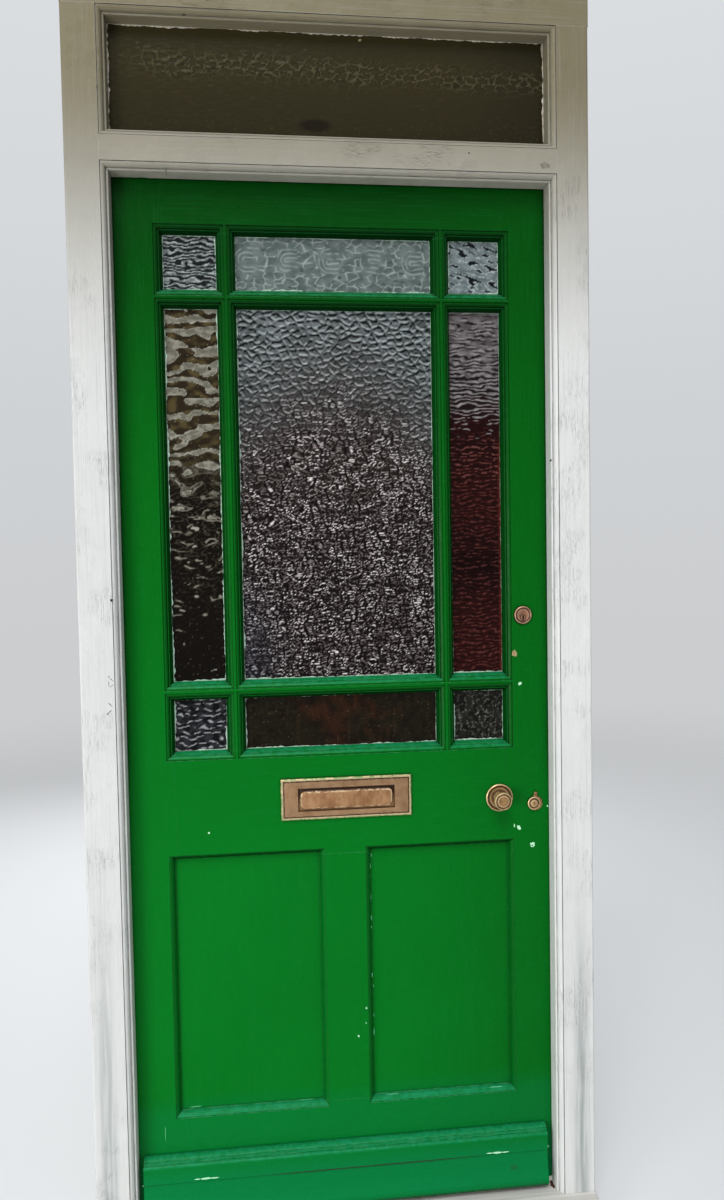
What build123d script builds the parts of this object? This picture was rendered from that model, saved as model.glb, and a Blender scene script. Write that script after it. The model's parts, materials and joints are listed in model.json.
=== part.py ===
from build123d import *
from math import atan, cos, degrees, pi, sin
import os

# A panelled and glazed front door in its own frame, in millimetres.
# X runs across the door, to the right as seen from outside. Y runs inwards, and 0 is the outer face of
# the leaf. Z runs up from the underside of the threshold sill, whose middle is the origin.

# Leaf: 2 ft 9 in by 6 ft 6 in
leaf_w = 838.0
leaf_h = 1981.0
leaf_t = 44.0
stile_face = 82.3
top_rail_face = 91.4
bottom_rail_face = 189.5
lock_rail_z = 703.0
lock_rail_face = 182.0
muntin_face = 80.0

# Glazing bars: their centre lines, from the quirk lines of the glazed opening
side_light_w = 132.2
top_light_h = 133.5
low_light_h = 131.6
bar_face = 5.2
bar_lap_y = 24.0

# Mouldings, glass and panels
sash_w = 15.4
sash_depth = 18.5
sash_quirk = 1.8
moulding_sides = 3
sash_ovolo = ((5.2, 3.0), (8.4, 7.0))
sash_fillet = 1.6
sash_edge = 2.2
panel_moulding_w = 11.0
panel_recess = 13.6
panel_quirk = 1.3
panel_ledge = 1.4
panel_ogee = (5.6, 4.6)
rebate = 10.0
glass_t = 4.0
glass_edge_gap = 2.0
bead_inset = 1.5
bead_chamfer = 5.0
groove = 9.0
panel_edge_gap = 1.0

# Joints of the leaf
tenon_t = 14.0
top_tenon = (16.0, 34.0)
lock_tenons = ((22.0, 34.0), (110.0, 58.0))
bottom_tenons = ((32.0, 55.0), (112.0, 55.0))
bar_tenon = (12.0, 12.0, 12.0)
muntin_tenon = 25.0

# Frame
jamb_w = 62.0
head_h = 60.0
transom_h = 45.2
fanlight_h = 227.7
frame_front = 42.0
sill_h = 50.0
sill_nose = 28.0
sill_fall = 7.0
sill_nose_r = 3.0
drip = (10.0, 8.0)
frame_tenon_t = 18.0
frame_tenon_w = 36.0
frame_tenon_l = 30.0
transom_tenon_in = 8.0
post_round = 4.0
edge_gap = 3.0
sill_gap = 3.5
stop_lap = 10.5
stop_gap = 1.0
stop_reveal = 29.5
stop_bead = 4.6
stop_quirk = 1.3
fanlight_glass_y = -4.0
fanlight_bead_depth = 16.0

# Weatherboard and kick board, from the leaf's edges and bottom
board_left = 20.7
board_right = 25.9
board_out = 23.0
board_top = 122.5
board_joint = 77.5
kick_bottom = 1.0
kick_out = 28.5
kick_foot_out = 18.0

# Hinges
hinge_h = 100.0
hinge_leaf_w = 37.0
hinge_leaf_t = 2.6
knuckle_r = 6.0
hinge_pin_r = 3.0
pin_clear = 0.05
knuckles = 5
knuckle_gap = 0.15
knuckle_room = 0.6
pin_head = (5.2, 2.5)
hinge_stand = 6.5
top_hinge_down = 195.0
bottom_hinge_up = 276.0
screw_head_r = 4.2
screw_r = 2.1
screw_head_h = 2.4
screw_sides = 8
round_sides = 12
turned_sides = 36
hinge_screw_length = 22.0
hinge_screw_end = 14.0
hinge_screw_in = 10.0
hinge_screw_far = 8.0
hole_clear = 0.1

# Letter plate and its flap
letter_x = 4.5
letter_z = 801.8
letter_w = 254.0
letter_h = 80.0
letter_t = 5.0
letter_chamfer = 1.6
letter_line_in = 4.2
letter_line_w = 1.0
letter_line_deep = 0.8
aperture_w = 188.0
aperture_h = 45.0
aperture_drop = 1.5
flap_lap = 3.0
flap_t = 2.0
flap_clear = 0.3
flap_axis_y = 4.2
flap_axis_up = 1.5
flap_barrel_r = 2.6
trunnion_r = 1.5
lug_t = 3.5
lug_half = 4.0
lug_gap = 1.0
pillow_w = 180.0
pillow_h = 38.0
pillow_r = 10.0
pillow_out = 4.0
pillow_edge = 2.4
slot_clear = 2.5
slot_above = 5.0
slot_below = 4.5
coil_turns = 5
coil_pitch = 1.5
coil_wire_r = 0.6
coil_sides = 10
coil_gap = 0.35
coil_end = 1.2
plate_bolt_x = 116.0
plate_boss_r = 5.0
plate_boss_h = 8.0
plate_bolt_r = 2.5
plate_bolt_seat = 1.5
plate_bolt_past = 1.0
plate_washer = (8.0, 1.5)
plate_nut = (4.8, 3.5)

# Knob and rim lock
knob_backset = 111.3
knob_z = 786.8
rose_r = 27.0
knob_r = 17.4
knob_out = 35.0
knob_stand = 5.2
knob_neck = (2.2, 7.0, 4.6)
knob_flare = (1.2, 4.4, 4.3)
knob_edge = (2.0, 3.0)
knob_sunk = (1.8, 2.7)
knob_dome = (8.0, 0.6)
knob_crown = 0.2
knob_inner_less = 3.0
spindle_end = 14.0
neck_r = 8.0
rose_t = 4.6
rose_rim = (2.0, 1.4)
rose_dish = (5.5, 3.0)
rose_floor = (3.5, 1.7)
rose_lip = (2.0, 4.8)
neck_gap = 1.0
spindle = 8.0
inner_knob_gap = 0.5
spindle_hole_r = 8.5
case_bore_r = 6.2
lock_case_w = 152.0
lock_case_h = 102.0
lock_case_t = 22.0
lock_case_drop = 13.0
case_chamfer = 2.0
lock_screw_in = 9.0
lock_screw_back = 50.0
case_screw_bite = 14.0
latch_size = (14.0, 14.0)
latch_length = 60.0
latch_up = 14.0
bolt_size = (12.0, 25.0)
bolt_length = 70.0
bolt_drop = 28.0
bolt_clear = 0.3
bolt_spare = 2.0
bolt_rest_in = 0.6
nose_bevel = 0.75
keep_w = 28.0
keep_wall = 3.0
keep_back = 9.0
keep_room = 2.0
keep_gap = 0.4
keep_screw_in = 8.0

# Keyhole and its cover
key_backset = 38.0
key_drop = 14.5
key_plate_r = 14.0
key_plate_t = 2.0
cover_r = 13.0
cover_t = 3.2
cover_gap = 0.3
cover_tilt = 10.0
cover_boss_r = 7.0
cover_crown = 1.2
cover_ring = (2.0, 1.0, 4.0)
cover_floor = 1.6
cover_eye_r = 3.6
cover_neck_w = 6.0
pivot_up = 20.0
pivot_r = 2.0
pivot_head = (3.0, 0.8)
pivot_ear_r = 3.2
key_r = 4.2
key_slot_w = 4.6
key_slot_h = 13.0

# Night latch
night_backset = 60.0
night_z = 1147.3
cylinder_ring_r = 17.5
cylinder_ring_t = 5.0
cylinder_face = 3.4
cylinder_rim = (1.9, 1.8, 4.0)
cylinder_r = 14.2
cylinder_length = 38.0
cylinder_hole_r = 15.0
plug_r = 6.0
plug_drop = 5.0
plug_clear = 0.06
plug_proud = 0.5
keyway = (1.2, 7.5, 6.0)
tail_bar = (6.0, 2.0)
tail_in = 10.0
night_case_w = 86.0
night_case_h = 72.0
night_case_t = 28.0
night_bolt = (12.0, 28.0)
night_bolt_length = 34.0
night_screw_in = 8.0
night_screw_back = 10.0
turn_r = 15.0
turn_out = 24.0
turn_neck = (6.0, 5.0)
turn_flare = 8.0
turn_edge = 2.0
turn_stem_r = 4.0
turn_in = 10.0
turn_gap = 0.5
turn_backset = 47.0
night_keep_w = 24.0

# Places worked out from the sizes above
half = leaf_w / 2
leaf_z0 = sill_h + sill_gap
leaf_z1 = leaf_z0 + leaf_h
jamb_x = half + edge_gap
outer_x = jamb_x + jamb_w
frame_back = leaf_t
stop_t = edge_gap + stop_lap
transom_z0 = leaf_z1 + edge_gap
transom_z1 = transom_z0 + transom_h
head_z0 = transom_z1 + fanlight_h
head_z1 = head_z0 + head_h
glaze_x = half - stile_face
glaze_z1 = leaf_z1 - top_rail_face
panel_z0 = leaf_z0 + bottom_rail_face
panel_z1 = leaf_z0 + lock_rail_z
glaze_z0 = panel_z1 + lock_rail_face
bar_w = bar_face + 2 * sash_w
bar_x = glaze_x - side_light_w
bar_top_z = glaze_z1 - top_light_h
bar_low_z = glaze_z0 + low_light_h
sight_x = glaze_x - sash_w
sight_z0 = glaze_z0 + sash_w
sight_z1 = glaze_z1 - sash_w
glass_y1 = sash_depth + glass_t
pin_x = -(half + jamb_x) / 2
pin_y = leaf_t + hinge_stand
letter_z0 = leaf_z0 + letter_z
aperture_z = letter_z0 - aperture_drop
aperture_top = aperture_z + aperture_h / 2
aperture_bottom = aperture_z - aperture_h / 2
flap_axis_z = aperture_top + flap_axis_up
knob_x = half - knob_backset
knob_zc = leaf_z0 + knob_z
key_x = half - key_backset
key_z = knob_zc - key_drop
lock_case_z = knob_zc - lock_case_drop
cylinder_x = half - night_backset
night_zc = leaf_z0 + night_z
case_y1 = leaf_t + lock_case_t
night_y1 = leaf_t + night_case_t
keep_x = jamb_x + keep_gap
THROUGH = 1.0
NUT_SIDES = 6


def block(x0, x1, y0, y1, z0, z1):
    corner = (Align.MIN, Align.MIN, Align.MIN)
    return Pos(x0, y0, z0) * Box(x1 - x0, y1 - y0, z1 - z0, align=corner)


def rod_y(x, z, r, y0, y1):
    upright = Cylinder(r, y1 - y0, align=(Align.CENTER, Align.CENTER, Align.MIN))
    return Pos(x, y0, z) * Rot(-90, 0, 0) * upright


def faceted(r, sides, height):
    """An upright flat-sided round with its corners on the radius, for what repeats."""
    return extrude(RegularPolygon(r, sides), amount=height)


def rod_x(y, z, r, x0, x1):
    upright = Cylinder(r, x1 - x0, align=(Align.CENTER, Align.CENTER, Align.MIN))
    return Pos(x0, y, z) * Rot(0, 90, 0) * upright


def faceted_x(y, z, r, sides, x0, x1):
    return Pos(x0, y, z) * Rot(0, 90, 0) * faceted(r, sides, x1 - x0)


def faceted_y(x, z, r, sides, y0, y1):
    return Pos(x, y0, z) * Rot(-90, 0, 0) * faceted(r, sides, y1 - y0)


def edges_along(steps):
    """A step of two points is a line, and one of three is an arc through the middle one."""
    return [Line(*step) if len(step) == 2 else ThreePointArc(*step) for step in steps]


def turned(points, x, z):
    """A solid turned about an axis along Y at (x, z), from the (radius, y) points of its section.

    It is turned in flat steps, so that the small round pieces keep few faces."""
    bands = list(zip(points, points[1:] + points[:1]))
    if sum(r0 * y1 - r1 * y0 for (r0, y0), (r1, y1) in bands) > 0:
        bands = [(end, start) for start, end in bands]
    turns = [2 * pi * i / turned_sides for i in range(turned_sides + 1)]
    faces = []
    for near, far in zip(turns, turns[1:]):
        for (r0, y0), (r1, y1) in bands:
            corners = ((r0, y0, near), (r1, y1, near), (r1, y1, far), (r0, y0, far))
            places = dict.fromkeys((x + r * cos(turn), y, z + r * sin(turn)) for r, y, turn in corners)
            if len(places) > 2:
                faces.append(Face(Wire.make_polygon(places)))
    return Solid(Shell(faces))


def arc_points(first, middle, last, flats):
    """Points along an arc, for a moulding whose round part is worked in a few flats."""
    arc = ThreePointArc(first, middle, last)
    return [tuple(arc @ (i / flats))[:2] for i in range(flats + 1)]


def sash_moulding():
    """The glazing moulding as (inwards, deep) points from its quirk line to the sight edge."""
    ovolo = arc_points((0, sash_quirk), *sash_ovolo, moulding_sides)
    fillet_end = (ovolo[-1][0] + sash_fillet, ovolo[-1][1])
    return [(0, 0)] + ovolo + [fillet_end, (sash_w, sash_depth - sash_edge), (sash_w, sash_depth)]


def panel_moulding():
    """The panel moulding, from its quirk line down to the panel's face."""
    step = panel_recess - panel_ledge
    low = (panel_moulding_w - panel_ledge, step)
    ogee = arc_points((panel_ledge, panel_quirk), panel_ogee, low, moulding_sides)
    return [(0, 0), (0, panel_quirk)] + ogee + [(panel_moulding_w, step), (panel_moulding_w, panel_recess)]


def channel(low, high, moulding, face, into, beyond):
    """The section of the space between two facing mouldings, from before the face to beyond."""
    width = moulding[-1][0]
    before = face - into * THROUGH
    down = [(low + u, face + into * v) for u, v in moulding]
    up = [(high - u, face + into * v) for u, v in reversed(moulding)]
    floor = [(low + width, beyond), (high - width, beyond)]
    return make_face(Polyline((low, before), *down, *floor, *up, (high, before), close=True))


def moulded_opening(x0, x1, z0, z1, moulding, face, into, beyond):
    """The space in front of a moulding that runs round a rectangle, mitred at its corners."""
    across = channel(x0, x1, moulding, face, into, beyond)
    upright = Pos(0, 0, z0) * extrude(across, amount=z1 - z0)
    rising = channel(z0, z1, moulding, face, into, beyond)
    sideways = Plane(origin=(x1, 0, 0), x_dir=(0, 0, 1), z_dir=(-1, 0, 0))
    level = extrude(sideways * rising, amount=x1 - x0)
    return upright & level


def pane_grid():
    """Each pane's quirk rectangle, by the name of its row and column."""
    edge = bar_face / 2
    columns = {
        "left": (-glaze_x, -bar_x - edge),
        "centre": (-bar_x + edge, bar_x - edge),
        "right": (bar_x + edge, glaze_x),
    }
    rows = {
        "top": (bar_top_z + edge, glaze_z1),
        "middle": (bar_low_z + edge, bar_top_z - edge),
        "bottom": (glaze_z0, bar_low_z - edge),
    }
    return {f"{row}_{column}": columns[column] + rows[row] for row in rows for column in columns}


def panel_pair():
    """Each panel's quirk rectangle."""
    near = muntin_face / 2
    return {
        "left": (-glaze_x, -near, panel_z0, panel_z1),
        "right": (near, glaze_x, panel_z0, panel_z1),
    }


def grown(rectangle, by):
    x0, x1, z0, z1 = rectangle
    return (x0 - by, x1 + by, z0 - by, z1 + by)


def slab(rectangle, y0, y1):
    x0, x1, z0, z1 = rectangle
    return block(x0, x1, y0, y1, z0, z1)


def pane_space(rectangle):
    """What one pane's opening takes out of the wood: moulding in front and rebate behind."""
    front = moulded_opening(*rectangle, sash_moulding(), 0, 1, leaf_t + THROUGH)
    return front + slab(grown(rectangle, rebate - sash_w), sash_depth, leaf_t + THROUGH)


def panel_space(rectangle):
    """What one panel's opening takes out of the wood: a moulding on each face and the groove."""
    moulding = panel_moulding()
    front = moulded_opening(*rectangle, moulding, 0, 1, leaf_t / 2)
    back = moulded_opening(*rectangle, moulding, leaf_t, -1, leaf_t / 2)
    room = slab(grown(rectangle, groove - panel_moulding_w), panel_recess, leaf_t - panel_recess)
    return front + back + room


def tenon_boxes(x0, x1, spans):
    middle = leaf_t / 2
    y0, y1 = middle - tenon_t / 2, middle + tenon_t / 2
    return [block(x0, x1, y0, y1, low, low + height) for low, height in spans]


def rail_tenon_spans():
    """Every through tenon as (lowest, height), by rail."""
    top_low = glaze_z1 + top_tenon[0]
    top_high = leaf_z1 - top_tenon[1]
    return {
        "top": [(top_low, top_high - top_low)],
        "lock": [(panel_z1 + low, height) for low, height in lock_tenons],
        "bottom": [(leaf_z0 + low, height) for low, height in bottom_tenons],
    }


def bar_tenons(x, z, along):
    """A stub tenon at each end of a bar: along is z for an upright bar and x for a cross bar."""
    wide, deep, long = bar_tenon
    y0 = sash_depth + (leaf_t - sash_depth - deep) / 2
    y1 = y0 + deep
    if along == "z":
        ends = ((sight_z0 - long, sight_z0), (sight_z1, sight_z1 + long))
        return [block(x - wide / 2, x + wide / 2, y0, y1, low, high) for low, high in ends]
    ends = ((-sight_x - long, -sight_x), (sight_x, sight_x + long))
    return [block(low, high, y0, y1, z - wide / 2, z + wide / 2) for low, high in ends]


def muntin_tenons():
    middle = leaf_t / 2
    wide = muntin_face / 2
    y0 = middle - tenon_t / 2
    y1 = y0 + tenon_t
    low = panel_z0 + panel_moulding_w
    high = panel_z1 - panel_moulding_w
    return [
        block(-wide, wide, y0, y1, low - muntin_tenon, low),
        block(-wide, wide, y0, y1, high, high + muntin_tenon),
    ]


def cut(solid, tools):
    for tool in tools:
        solid = solid - tool
    return solid


def joined(solid, pieces):
    for piece in pieces:
        solid = solid + piece
    return solid


def screw_solid(length, clear=0.0):
    """A countersunk screw along +Z, its head's face at 0, with few sides because it repeats."""
    fall = (screw_head_r - screw_r) * cos(pi / screw_sides)
    slope = degrees(atan(fall / screw_head_h))
    head = extrude(RegularPolygon(screw_head_r + clear, screw_sides), amount=screw_head_h, taper=slope)
    return head + faceted(screw_r + clear, screw_sides, length + clear)


def screw_hole(length):
    return screw_solid(length, hole_clear)


DRIVES = {
    "+x": Rot(0, 90, 0),
    "-x": Rot(0, -90, 0),
    "+y": Rot(-90, 0, 0),
    "-y": Rot(90, 0, 0),
}


def at_screws(places, tool):
    """One copy of tool at each place, which is (x, y, z, drive)."""
    return [Pos(x, y, z) * DRIVES[drive] * tool for x, y, z, drive in places]


def hinge_heights():
    return {
        "top": leaf_z1 - top_hinge_down - hinge_h / 2,
        "bottom": leaf_z0 + bottom_hinge_up,
    }


def hinge_screw_places(side):
    """Three screws in each hinge leaf, staggered: side is frame or door."""
    x, drive = (-jamb_x, "-x") if side == "frame" else (-half, "+x")
    near = leaf_t - hinge_screw_in
    far = pin_y - hinge_leaf_w + hinge_screw_far
    reach = hinge_h / 2 - hinge_screw_end
    places = []
    for z in hinge_heights().values():
        for up, y in ((-reach, near), (0, far), (reach, near)):
            places.append((x, y, z + up, drive))
    return places


def lock_screw_places():
    """Screws through the rim lock's and the night latch's cases into the leaf."""
    places = []
    reach = lock_case_h / 2 - lock_screw_in
    for x in (half - lock_case_w + lock_screw_in, half - lock_screw_back):
        places += [(x, case_y1, lock_case_z + up, "-y") for up in (-reach, reach)]
    reach = night_case_h / 2 - night_screw_in
    for x in (half - night_case_w + night_screw_in, half - night_screw_back):
        places += [(x, night_y1, night_zc + up, "-y") for up in (-reach, reach)]
    return places


def keep_screw_places(width, y, z, height):
    x = keep_x + width - keep_screw_in
    reach = height / 2 - keep_screw_in
    return [(x, y, z + up, "-y") for up in (-reach, reach)]


def all_keep_screw_places():
    rim = keep_screw_places(keep_w, case_y1, lock_case_z, lock_case_h)
    return rim + keep_screw_places(night_keep_w, night_y1, night_zc, night_case_h)


def case_screw_length(y):
    return y - leaf_t + case_screw_bite


def make_leaf_wood(parts):
    panes = {name: pane_space(rectangle) for name, rectangle in pane_grid().items()}
    panels = {name: panel_space(rectangle) for name, rectangle in panel_pair().items()}
    tenons = rail_tenon_spans()
    spans = tenons["top"] + tenons["lock"] + tenons["bottom"]
    lefts = [space for name, space in panes.items() if name.endswith("left")]
    rights = [space for name, space in panes.items() if name.endswith("right")]

    upright_tenons = {-1: bar_tenons(-bar_x, 0, "z"), 1: bar_tenons(bar_x, 0, "z")}
    cross_tenons = {"upper": bar_tenons(0, bar_top_z, "x"), "lower": bar_tenons(0, bar_low_z, "x")}

    hinge_side = block(-half, -sight_x, 0, leaf_t, leaf_z0, leaf_z1)
    hinge_side = cut(hinge_side, lefts + [panels["left"]] + tenon_boxes(-half, -sight_x, spans))
    hinge_side = cut(hinge_side, [pair[0] for pair in cross_tenons.values()])
    for z in hinge_heights().values():
        y0 = pin_y - hinge_leaf_w
        z0, z1 = z - hinge_h / 2, z + hinge_h / 2
        hinge_side -= block(-half - THROUGH, -half + hinge_leaf_t, y0, leaf_t + THROUGH, z0, z1)
    holes = at_screws(hinge_screw_places("door"), screw_hole(hinge_screw_length))
    parts["hinge_stile"] = cut(hinge_side, holes)

    lock_side = block(sight_x, half, 0, leaf_t, leaf_z0, leaf_z1)
    lock_side = cut(lock_side, rights + [panels["right"]] + tenon_boxes(sight_x, half, spans))
    lock_side = cut(lock_side, [pair[1] for pair in cross_tenons.values()])
    lock_side -= keyhole_tool(-THROUGH, leaf_t + THROUGH)
    lock_side -= rod_y(cylinder_x, night_zc, cylinder_hole_r, -THROUGH, leaf_t + THROUGH)
    parts["lock_stile"] = cut(lock_side, case_screw_tools(lambda x: x > sight_x))

    wide = (-sight_x, sight_x, 0, leaf_t)
    top = block(*wide, sight_z1, leaf_z1)
    top = cut(top, [panes[f"top_{column}"] for column in ("left", "centre", "right")])
    top = cut(top, [pair[1] for pair in upright_tenons.values()])
    parts["top_rail"] = with_tenons(top, tenons["top"])

    middle = block(*wide, panel_z1 - panel_moulding_w, sight_z0)
    middle = cut(middle, [panes[f"bottom_{column}"] for column in ("left", "centre", "right")])
    middle = cut(middle, list(panels.values()) + [pair[0] for pair in upright_tenons.values()])
    middle = cut(middle, [muntin_tenons()[1], letter_slot()])
    middle = cut(middle, [rod_y(knob_x, knob_zc, spindle_hole_r, -THROUGH, leaf_t + THROUGH)])
    for x in (-plate_bolt_x, plate_bolt_x):
        boss = (plate_boss_r + hole_clear, round_sides, -THROUGH, plate_boss_h + hole_clear)
        middle -= faceted_y(letter_x + x, letter_z0, *boss)
        bolt = (plate_bolt_r + hole_clear, screw_sides, 0, leaf_t + THROUGH)
        middle -= faceted_y(letter_x + x, letter_z0, *bolt)
    middle = cut(middle, case_screw_tools(lambda x: x < sight_x))
    parts["lock_rail"] = with_tenons(middle, tenons["lock"])

    low = block(*wide, leaf_z0, panel_z0 + panel_moulding_w)
    low = cut(low, list(panels.values()) + [muntin_tenons()[0]])
    parts["bottom_rail"] = with_tenons(low, tenons["bottom"])

    reach = muntin_face / 2 + panel_moulding_w
    z0, z1 = panel_z0 + panel_moulding_w, panel_z1 - panel_moulding_w
    upright = cut(block(-reach, reach, 0, leaf_t, z0, z1), list(panels.values()))
    parts["muntin"] = joined(upright, muntin_tenons())

    for name, rectangle in panel_pair().items():
        board = grown(rectangle, groove - panel_moulding_w - panel_edge_gap)
        parts[f"{name}_panel"] = slab(board, panel_recess, leaf_t - panel_recess)

    make_bars(parts, panes, upright_tenons, cross_tenons)


def with_tenons(rail, spans):
    rail = joined(rail, tenon_boxes(-half, -sight_x, spans))
    return joined(rail, tenon_boxes(sight_x, half, spans))


def case_screw_tools(wanted):
    """Holes in the leaf for the screws of both lock cases, where wanted(x) holds."""
    tools = []
    for place in lock_screw_places():
        if wanted(place[0]):
            tools += at_screws([place], screw_hole(case_screw_length(place[1])))
    return tools


def make_bars(parts, panes, upright_tenons, cross_tenons):
    """The bars are halved over each other: an upright keeps its front where they cross."""
    reach = bar_w / 2
    spaces = list(panes.values())
    crossings = [(x, z) for x in (-bar_x, bar_x) for z in (bar_low_z, bar_top_z)]
    for name, x, side in (("left", -bar_x, -1), ("right", bar_x, 1)):
        bar = cut(block(x - reach, x + reach, 0, leaf_t, sight_z0, sight_z1), spaces)
        for _, z in (place for place in crossings if place[0] == x):
            bar -= block(x - reach, x + reach, bar_lap_y, leaf_t + THROUGH, z - reach, z + reach)
        parts[f"{name}_upright_bar"] = joined(bar, upright_tenons[side])
    for name, z in (("upper", bar_top_z), ("lower", bar_low_z)):
        bar = cut(block(-sight_x, sight_x, 0, leaf_t, z - reach, z + reach), spaces)
        for x, _ in (place for place in crossings if place[1] == z):
            bar -= block(x - reach, x + reach, -THROUGH, bar_lap_y, z - reach, z + reach)
        parts[f"{name}_cross_bar"] = joined(bar, cross_tenons[name])


def mitred_strips(rectangle, width, section, sides):
    """Strips round the inside of a rectangle, from a section of (inwards, y) points.

    Each strip is cut off square where its neighbour isn't in sides."""
    x0, x1, z0, z1 = rectangle
    places = {
        "left": (Plane((x0, 0, z0), (1, 0, 0), (0, 0, 1)), z1 - z0, "bottom", "top"),
        "right": (Plane((x1, 0, z1), (-1, 0, 0), (0, 0, -1)), z1 - z0, "top", "bottom"),
        "bottom": (Plane((x1, 0, z0), (0, 0, 1), (-1, 0, 0)), x1 - x0, "right", "left"),
        "top": (Plane((x0, 0, z1), (0, 0, -1), (1, 0, 0)), x1 - x0, "left", "right"),
    }
    strips = {}
    for side in sides:
        plane, length, first, last = places[side]
        low = width if first in sides else 0
        high = length - (width if last in sides else 0)
        wedge = make_face(Polyline((0, 0), (width, low), (width, high), (0, length), close=True))
        prism = extrude(Plane.XZ * wedge, amount=2 * leaf_t, both=True)
        strips[side] = plane.location * (extrude(section, amount=length) & prism)
    return strips


def stop_section(back):
    """A planted stop: plain reveal, bead, cove and a quirk against the post."""
    front = -frame_front
    nose = -stop_reveal
    bead = stop_t - stop_bead
    crest = (stop_t - stop_bead / 2 + 0.6, nose - 3.0)
    round_bead = arc_points((stop_t, nose), crest, (bead, nose - 2.2), moulding_sides)
    hollow = (bead - 2.2, nose - 8.6)
    cove = arc_points((bead, nose - 4.0), hollow, (stop_quirk, front + 1.0), moulding_sides)
    quirk = [(stop_quirk, front + 3.2), (0, front + 3.2)]
    return make_face(Polyline((0, back), (stop_t, back), *round_bead, *cove, *quirk, close=True))


def bead_section(y0, y1, width):
    """A glazing bead whose inner arris is taken off, as (inwards, y) points."""
    slope = [(width, y1 - bead_chamfer), (width - bead_chamfer, y1)]
    return make_face(Polyline((0, y0), (width, y0), *slope, (0, y1), close=True))


def make_glass(parts):
    beads = []
    section = bead_section(glass_y1, leaf_t - bead_inset, rebate)
    for name, rectangle in pane_grid().items():
        seat = grown(rectangle, rebate - sash_w)
        parts[f"pane_{name}"] = slab(grown(seat, -glass_edge_gap), sash_depth, glass_y1)
        beads += list(mitred_strips(seat, rebate, section, ("left", "right", "bottom", "top")).values())
    parts["glazing_beads"] = beads


def jamb(side):
    x0, x1 = sorted((side * jamb_x, side * outer_x))
    post = block(x0, x1, -frame_front, frame_back, sill_h, head_z0)
    arris = post.edges().filter_by(Axis.Z).sort_by(Axis.Y)[:2].sort_by(Axis.X)
    post = fillet(arris[0] if side < 0 else arris[-1], post_round)
    post = joined(post, [post_tenon(side, low=True), post_tenon(side, low=False)])
    return post - transom_tenon(side)


def frame_tenon_ys():
    middle = (frame_back - frame_front) / 2
    return middle - frame_tenon_t / 2, middle + frame_tenon_t / 2


def post_tenon(side, low):
    """The tenon at one end of a post, which is also its mortice in the sill or the head."""
    middle = side * (jamb_x + outer_x) / 2
    z0, z1 = (sill_h - frame_tenon_l, sill_h) if low else (head_z0, head_z0 + frame_tenon_l)
    reach = frame_tenon_w / 2
    return block(middle - reach, middle + reach, *frame_tenon_ys(), z0, z1)


def transom_tenon(side):
    x0, x1 = sorted((side * jamb_x, side * (jamb_x + frame_tenon_l)))
    z0, z1 = transom_z0 + transom_tenon_in, transom_z1 - transom_tenon_in
    return block(x0, x1, *frame_tenon_ys(), z0, z1)


def sill_section():
    """The threshold as (y, z) points: level inside, falling to a rounded nose with a drip under it."""
    front = -frame_front - sill_nose
    top = sill_h - sill_fall
    corner = sill_nose_r * (1 - 0.5 ** 0.5)
    drip_in, drip_w = drip
    drip_y = front + drip_in
    steps = [
        ((frame_back, 0), (frame_back, sill_h)),
        ((frame_back, sill_h), (-frame_front, sill_h)),
        ((-frame_front, sill_h), (front + sill_nose_r, top)),
        ((front + sill_nose_r, top), (front + corner, top - corner), (front, top - sill_nose_r)),
        ((front, top - sill_nose_r), (front, 0)),
        ((front, 0), (drip_y, 0)),
        ((drip_y, 0), (drip_y + drip_w / 2, drip_w / 2), (drip_y + drip_w, 0)),
        ((drip_y + drip_w, 0), (frame_back, 0)),
    ]
    return make_face(edges_along(steps))


def make_frame(parts):
    left, right = jamb(-1), jamb(1)
    for z in hinge_heights().values():
        y0 = pin_y - hinge_leaf_w
        z0, z1 = z - hinge_h / 2, z + hinge_h / 2
        left -= block(-jamb_x - hinge_leaf_t, -jamb_x + THROUGH, y0, frame_back + THROUGH, z0, z1)
    parts["left_jamb"] = cut(left, at_screws(hinge_screw_places("frame"), screw_hole(hinge_screw_length)))
    for place in all_keep_screw_places():
        right = cut(right, at_screws([place], screw_hole(case_screw_length(place[1]))))
    parts["right_jamb"] = right

    head = block(-outer_x, outer_x, -frame_front, frame_back, head_z0, head_z1)
    parts["frame_head"] = cut(head, [post_tenon(side, low=False) for side in (-1, 1)])
    rail = block(-jamb_x, jamb_x, -frame_front, frame_back, transom_z0, transom_z1)
    parts["transom_rail"] = joined(rail, [transom_tenon(-1), transom_tenon(1)])

    across = Plane((-outer_x, 0, 0), (0, 1, 0), (1, 0, 0))
    sill = extrude(across * sill_section(), amount=2 * outer_x)
    parts["threshold_sill"] = cut(sill, [post_tenon(side, low=True) for side in (-1, 1)])

    doorway = (-jamb_x, jamb_x, sill_h, transom_z0)
    stops = mitred_strips(doorway, stop_t, stop_section(-stop_gap), ("left", "right", "top"))
    for side, name in (("left", "left"), ("right", "right"), ("top", "head")):
        parts[f"{name}_door_stop"] = stops[side]

    light = (-jamb_x, jamb_x, transom_z1, head_z0)
    every = ("left", "right", "bottom", "top")
    section = stop_section(fanlight_glass_y)
    parts["fanlight_stops"] = list(mitred_strips(light, stop_t, section, every).values())
    glass_back = fanlight_glass_y + glass_t
    parts["fanlight_glass"] = slab(grown(light, -glass_edge_gap), fanlight_glass_y, glass_back)
    section = bead_section(glass_back, glass_back + fanlight_bead_depth, stop_t)
    parts["fanlight_beads"] = list(mitred_strips(light, stop_t, section, every).values())


def board(points_and_arcs):
    """An outside board across the leaf, from a section of (out, height) points."""
    x0, x1 = -half + board_left, half - board_right
    across = Plane((x0, 0, leaf_z0), (0, -1, 0), (-1, 0, 0))
    section = make_face(edges_along(points_and_arcs))
    return extrude(across * section, amount=-(x1 - x0))


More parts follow.
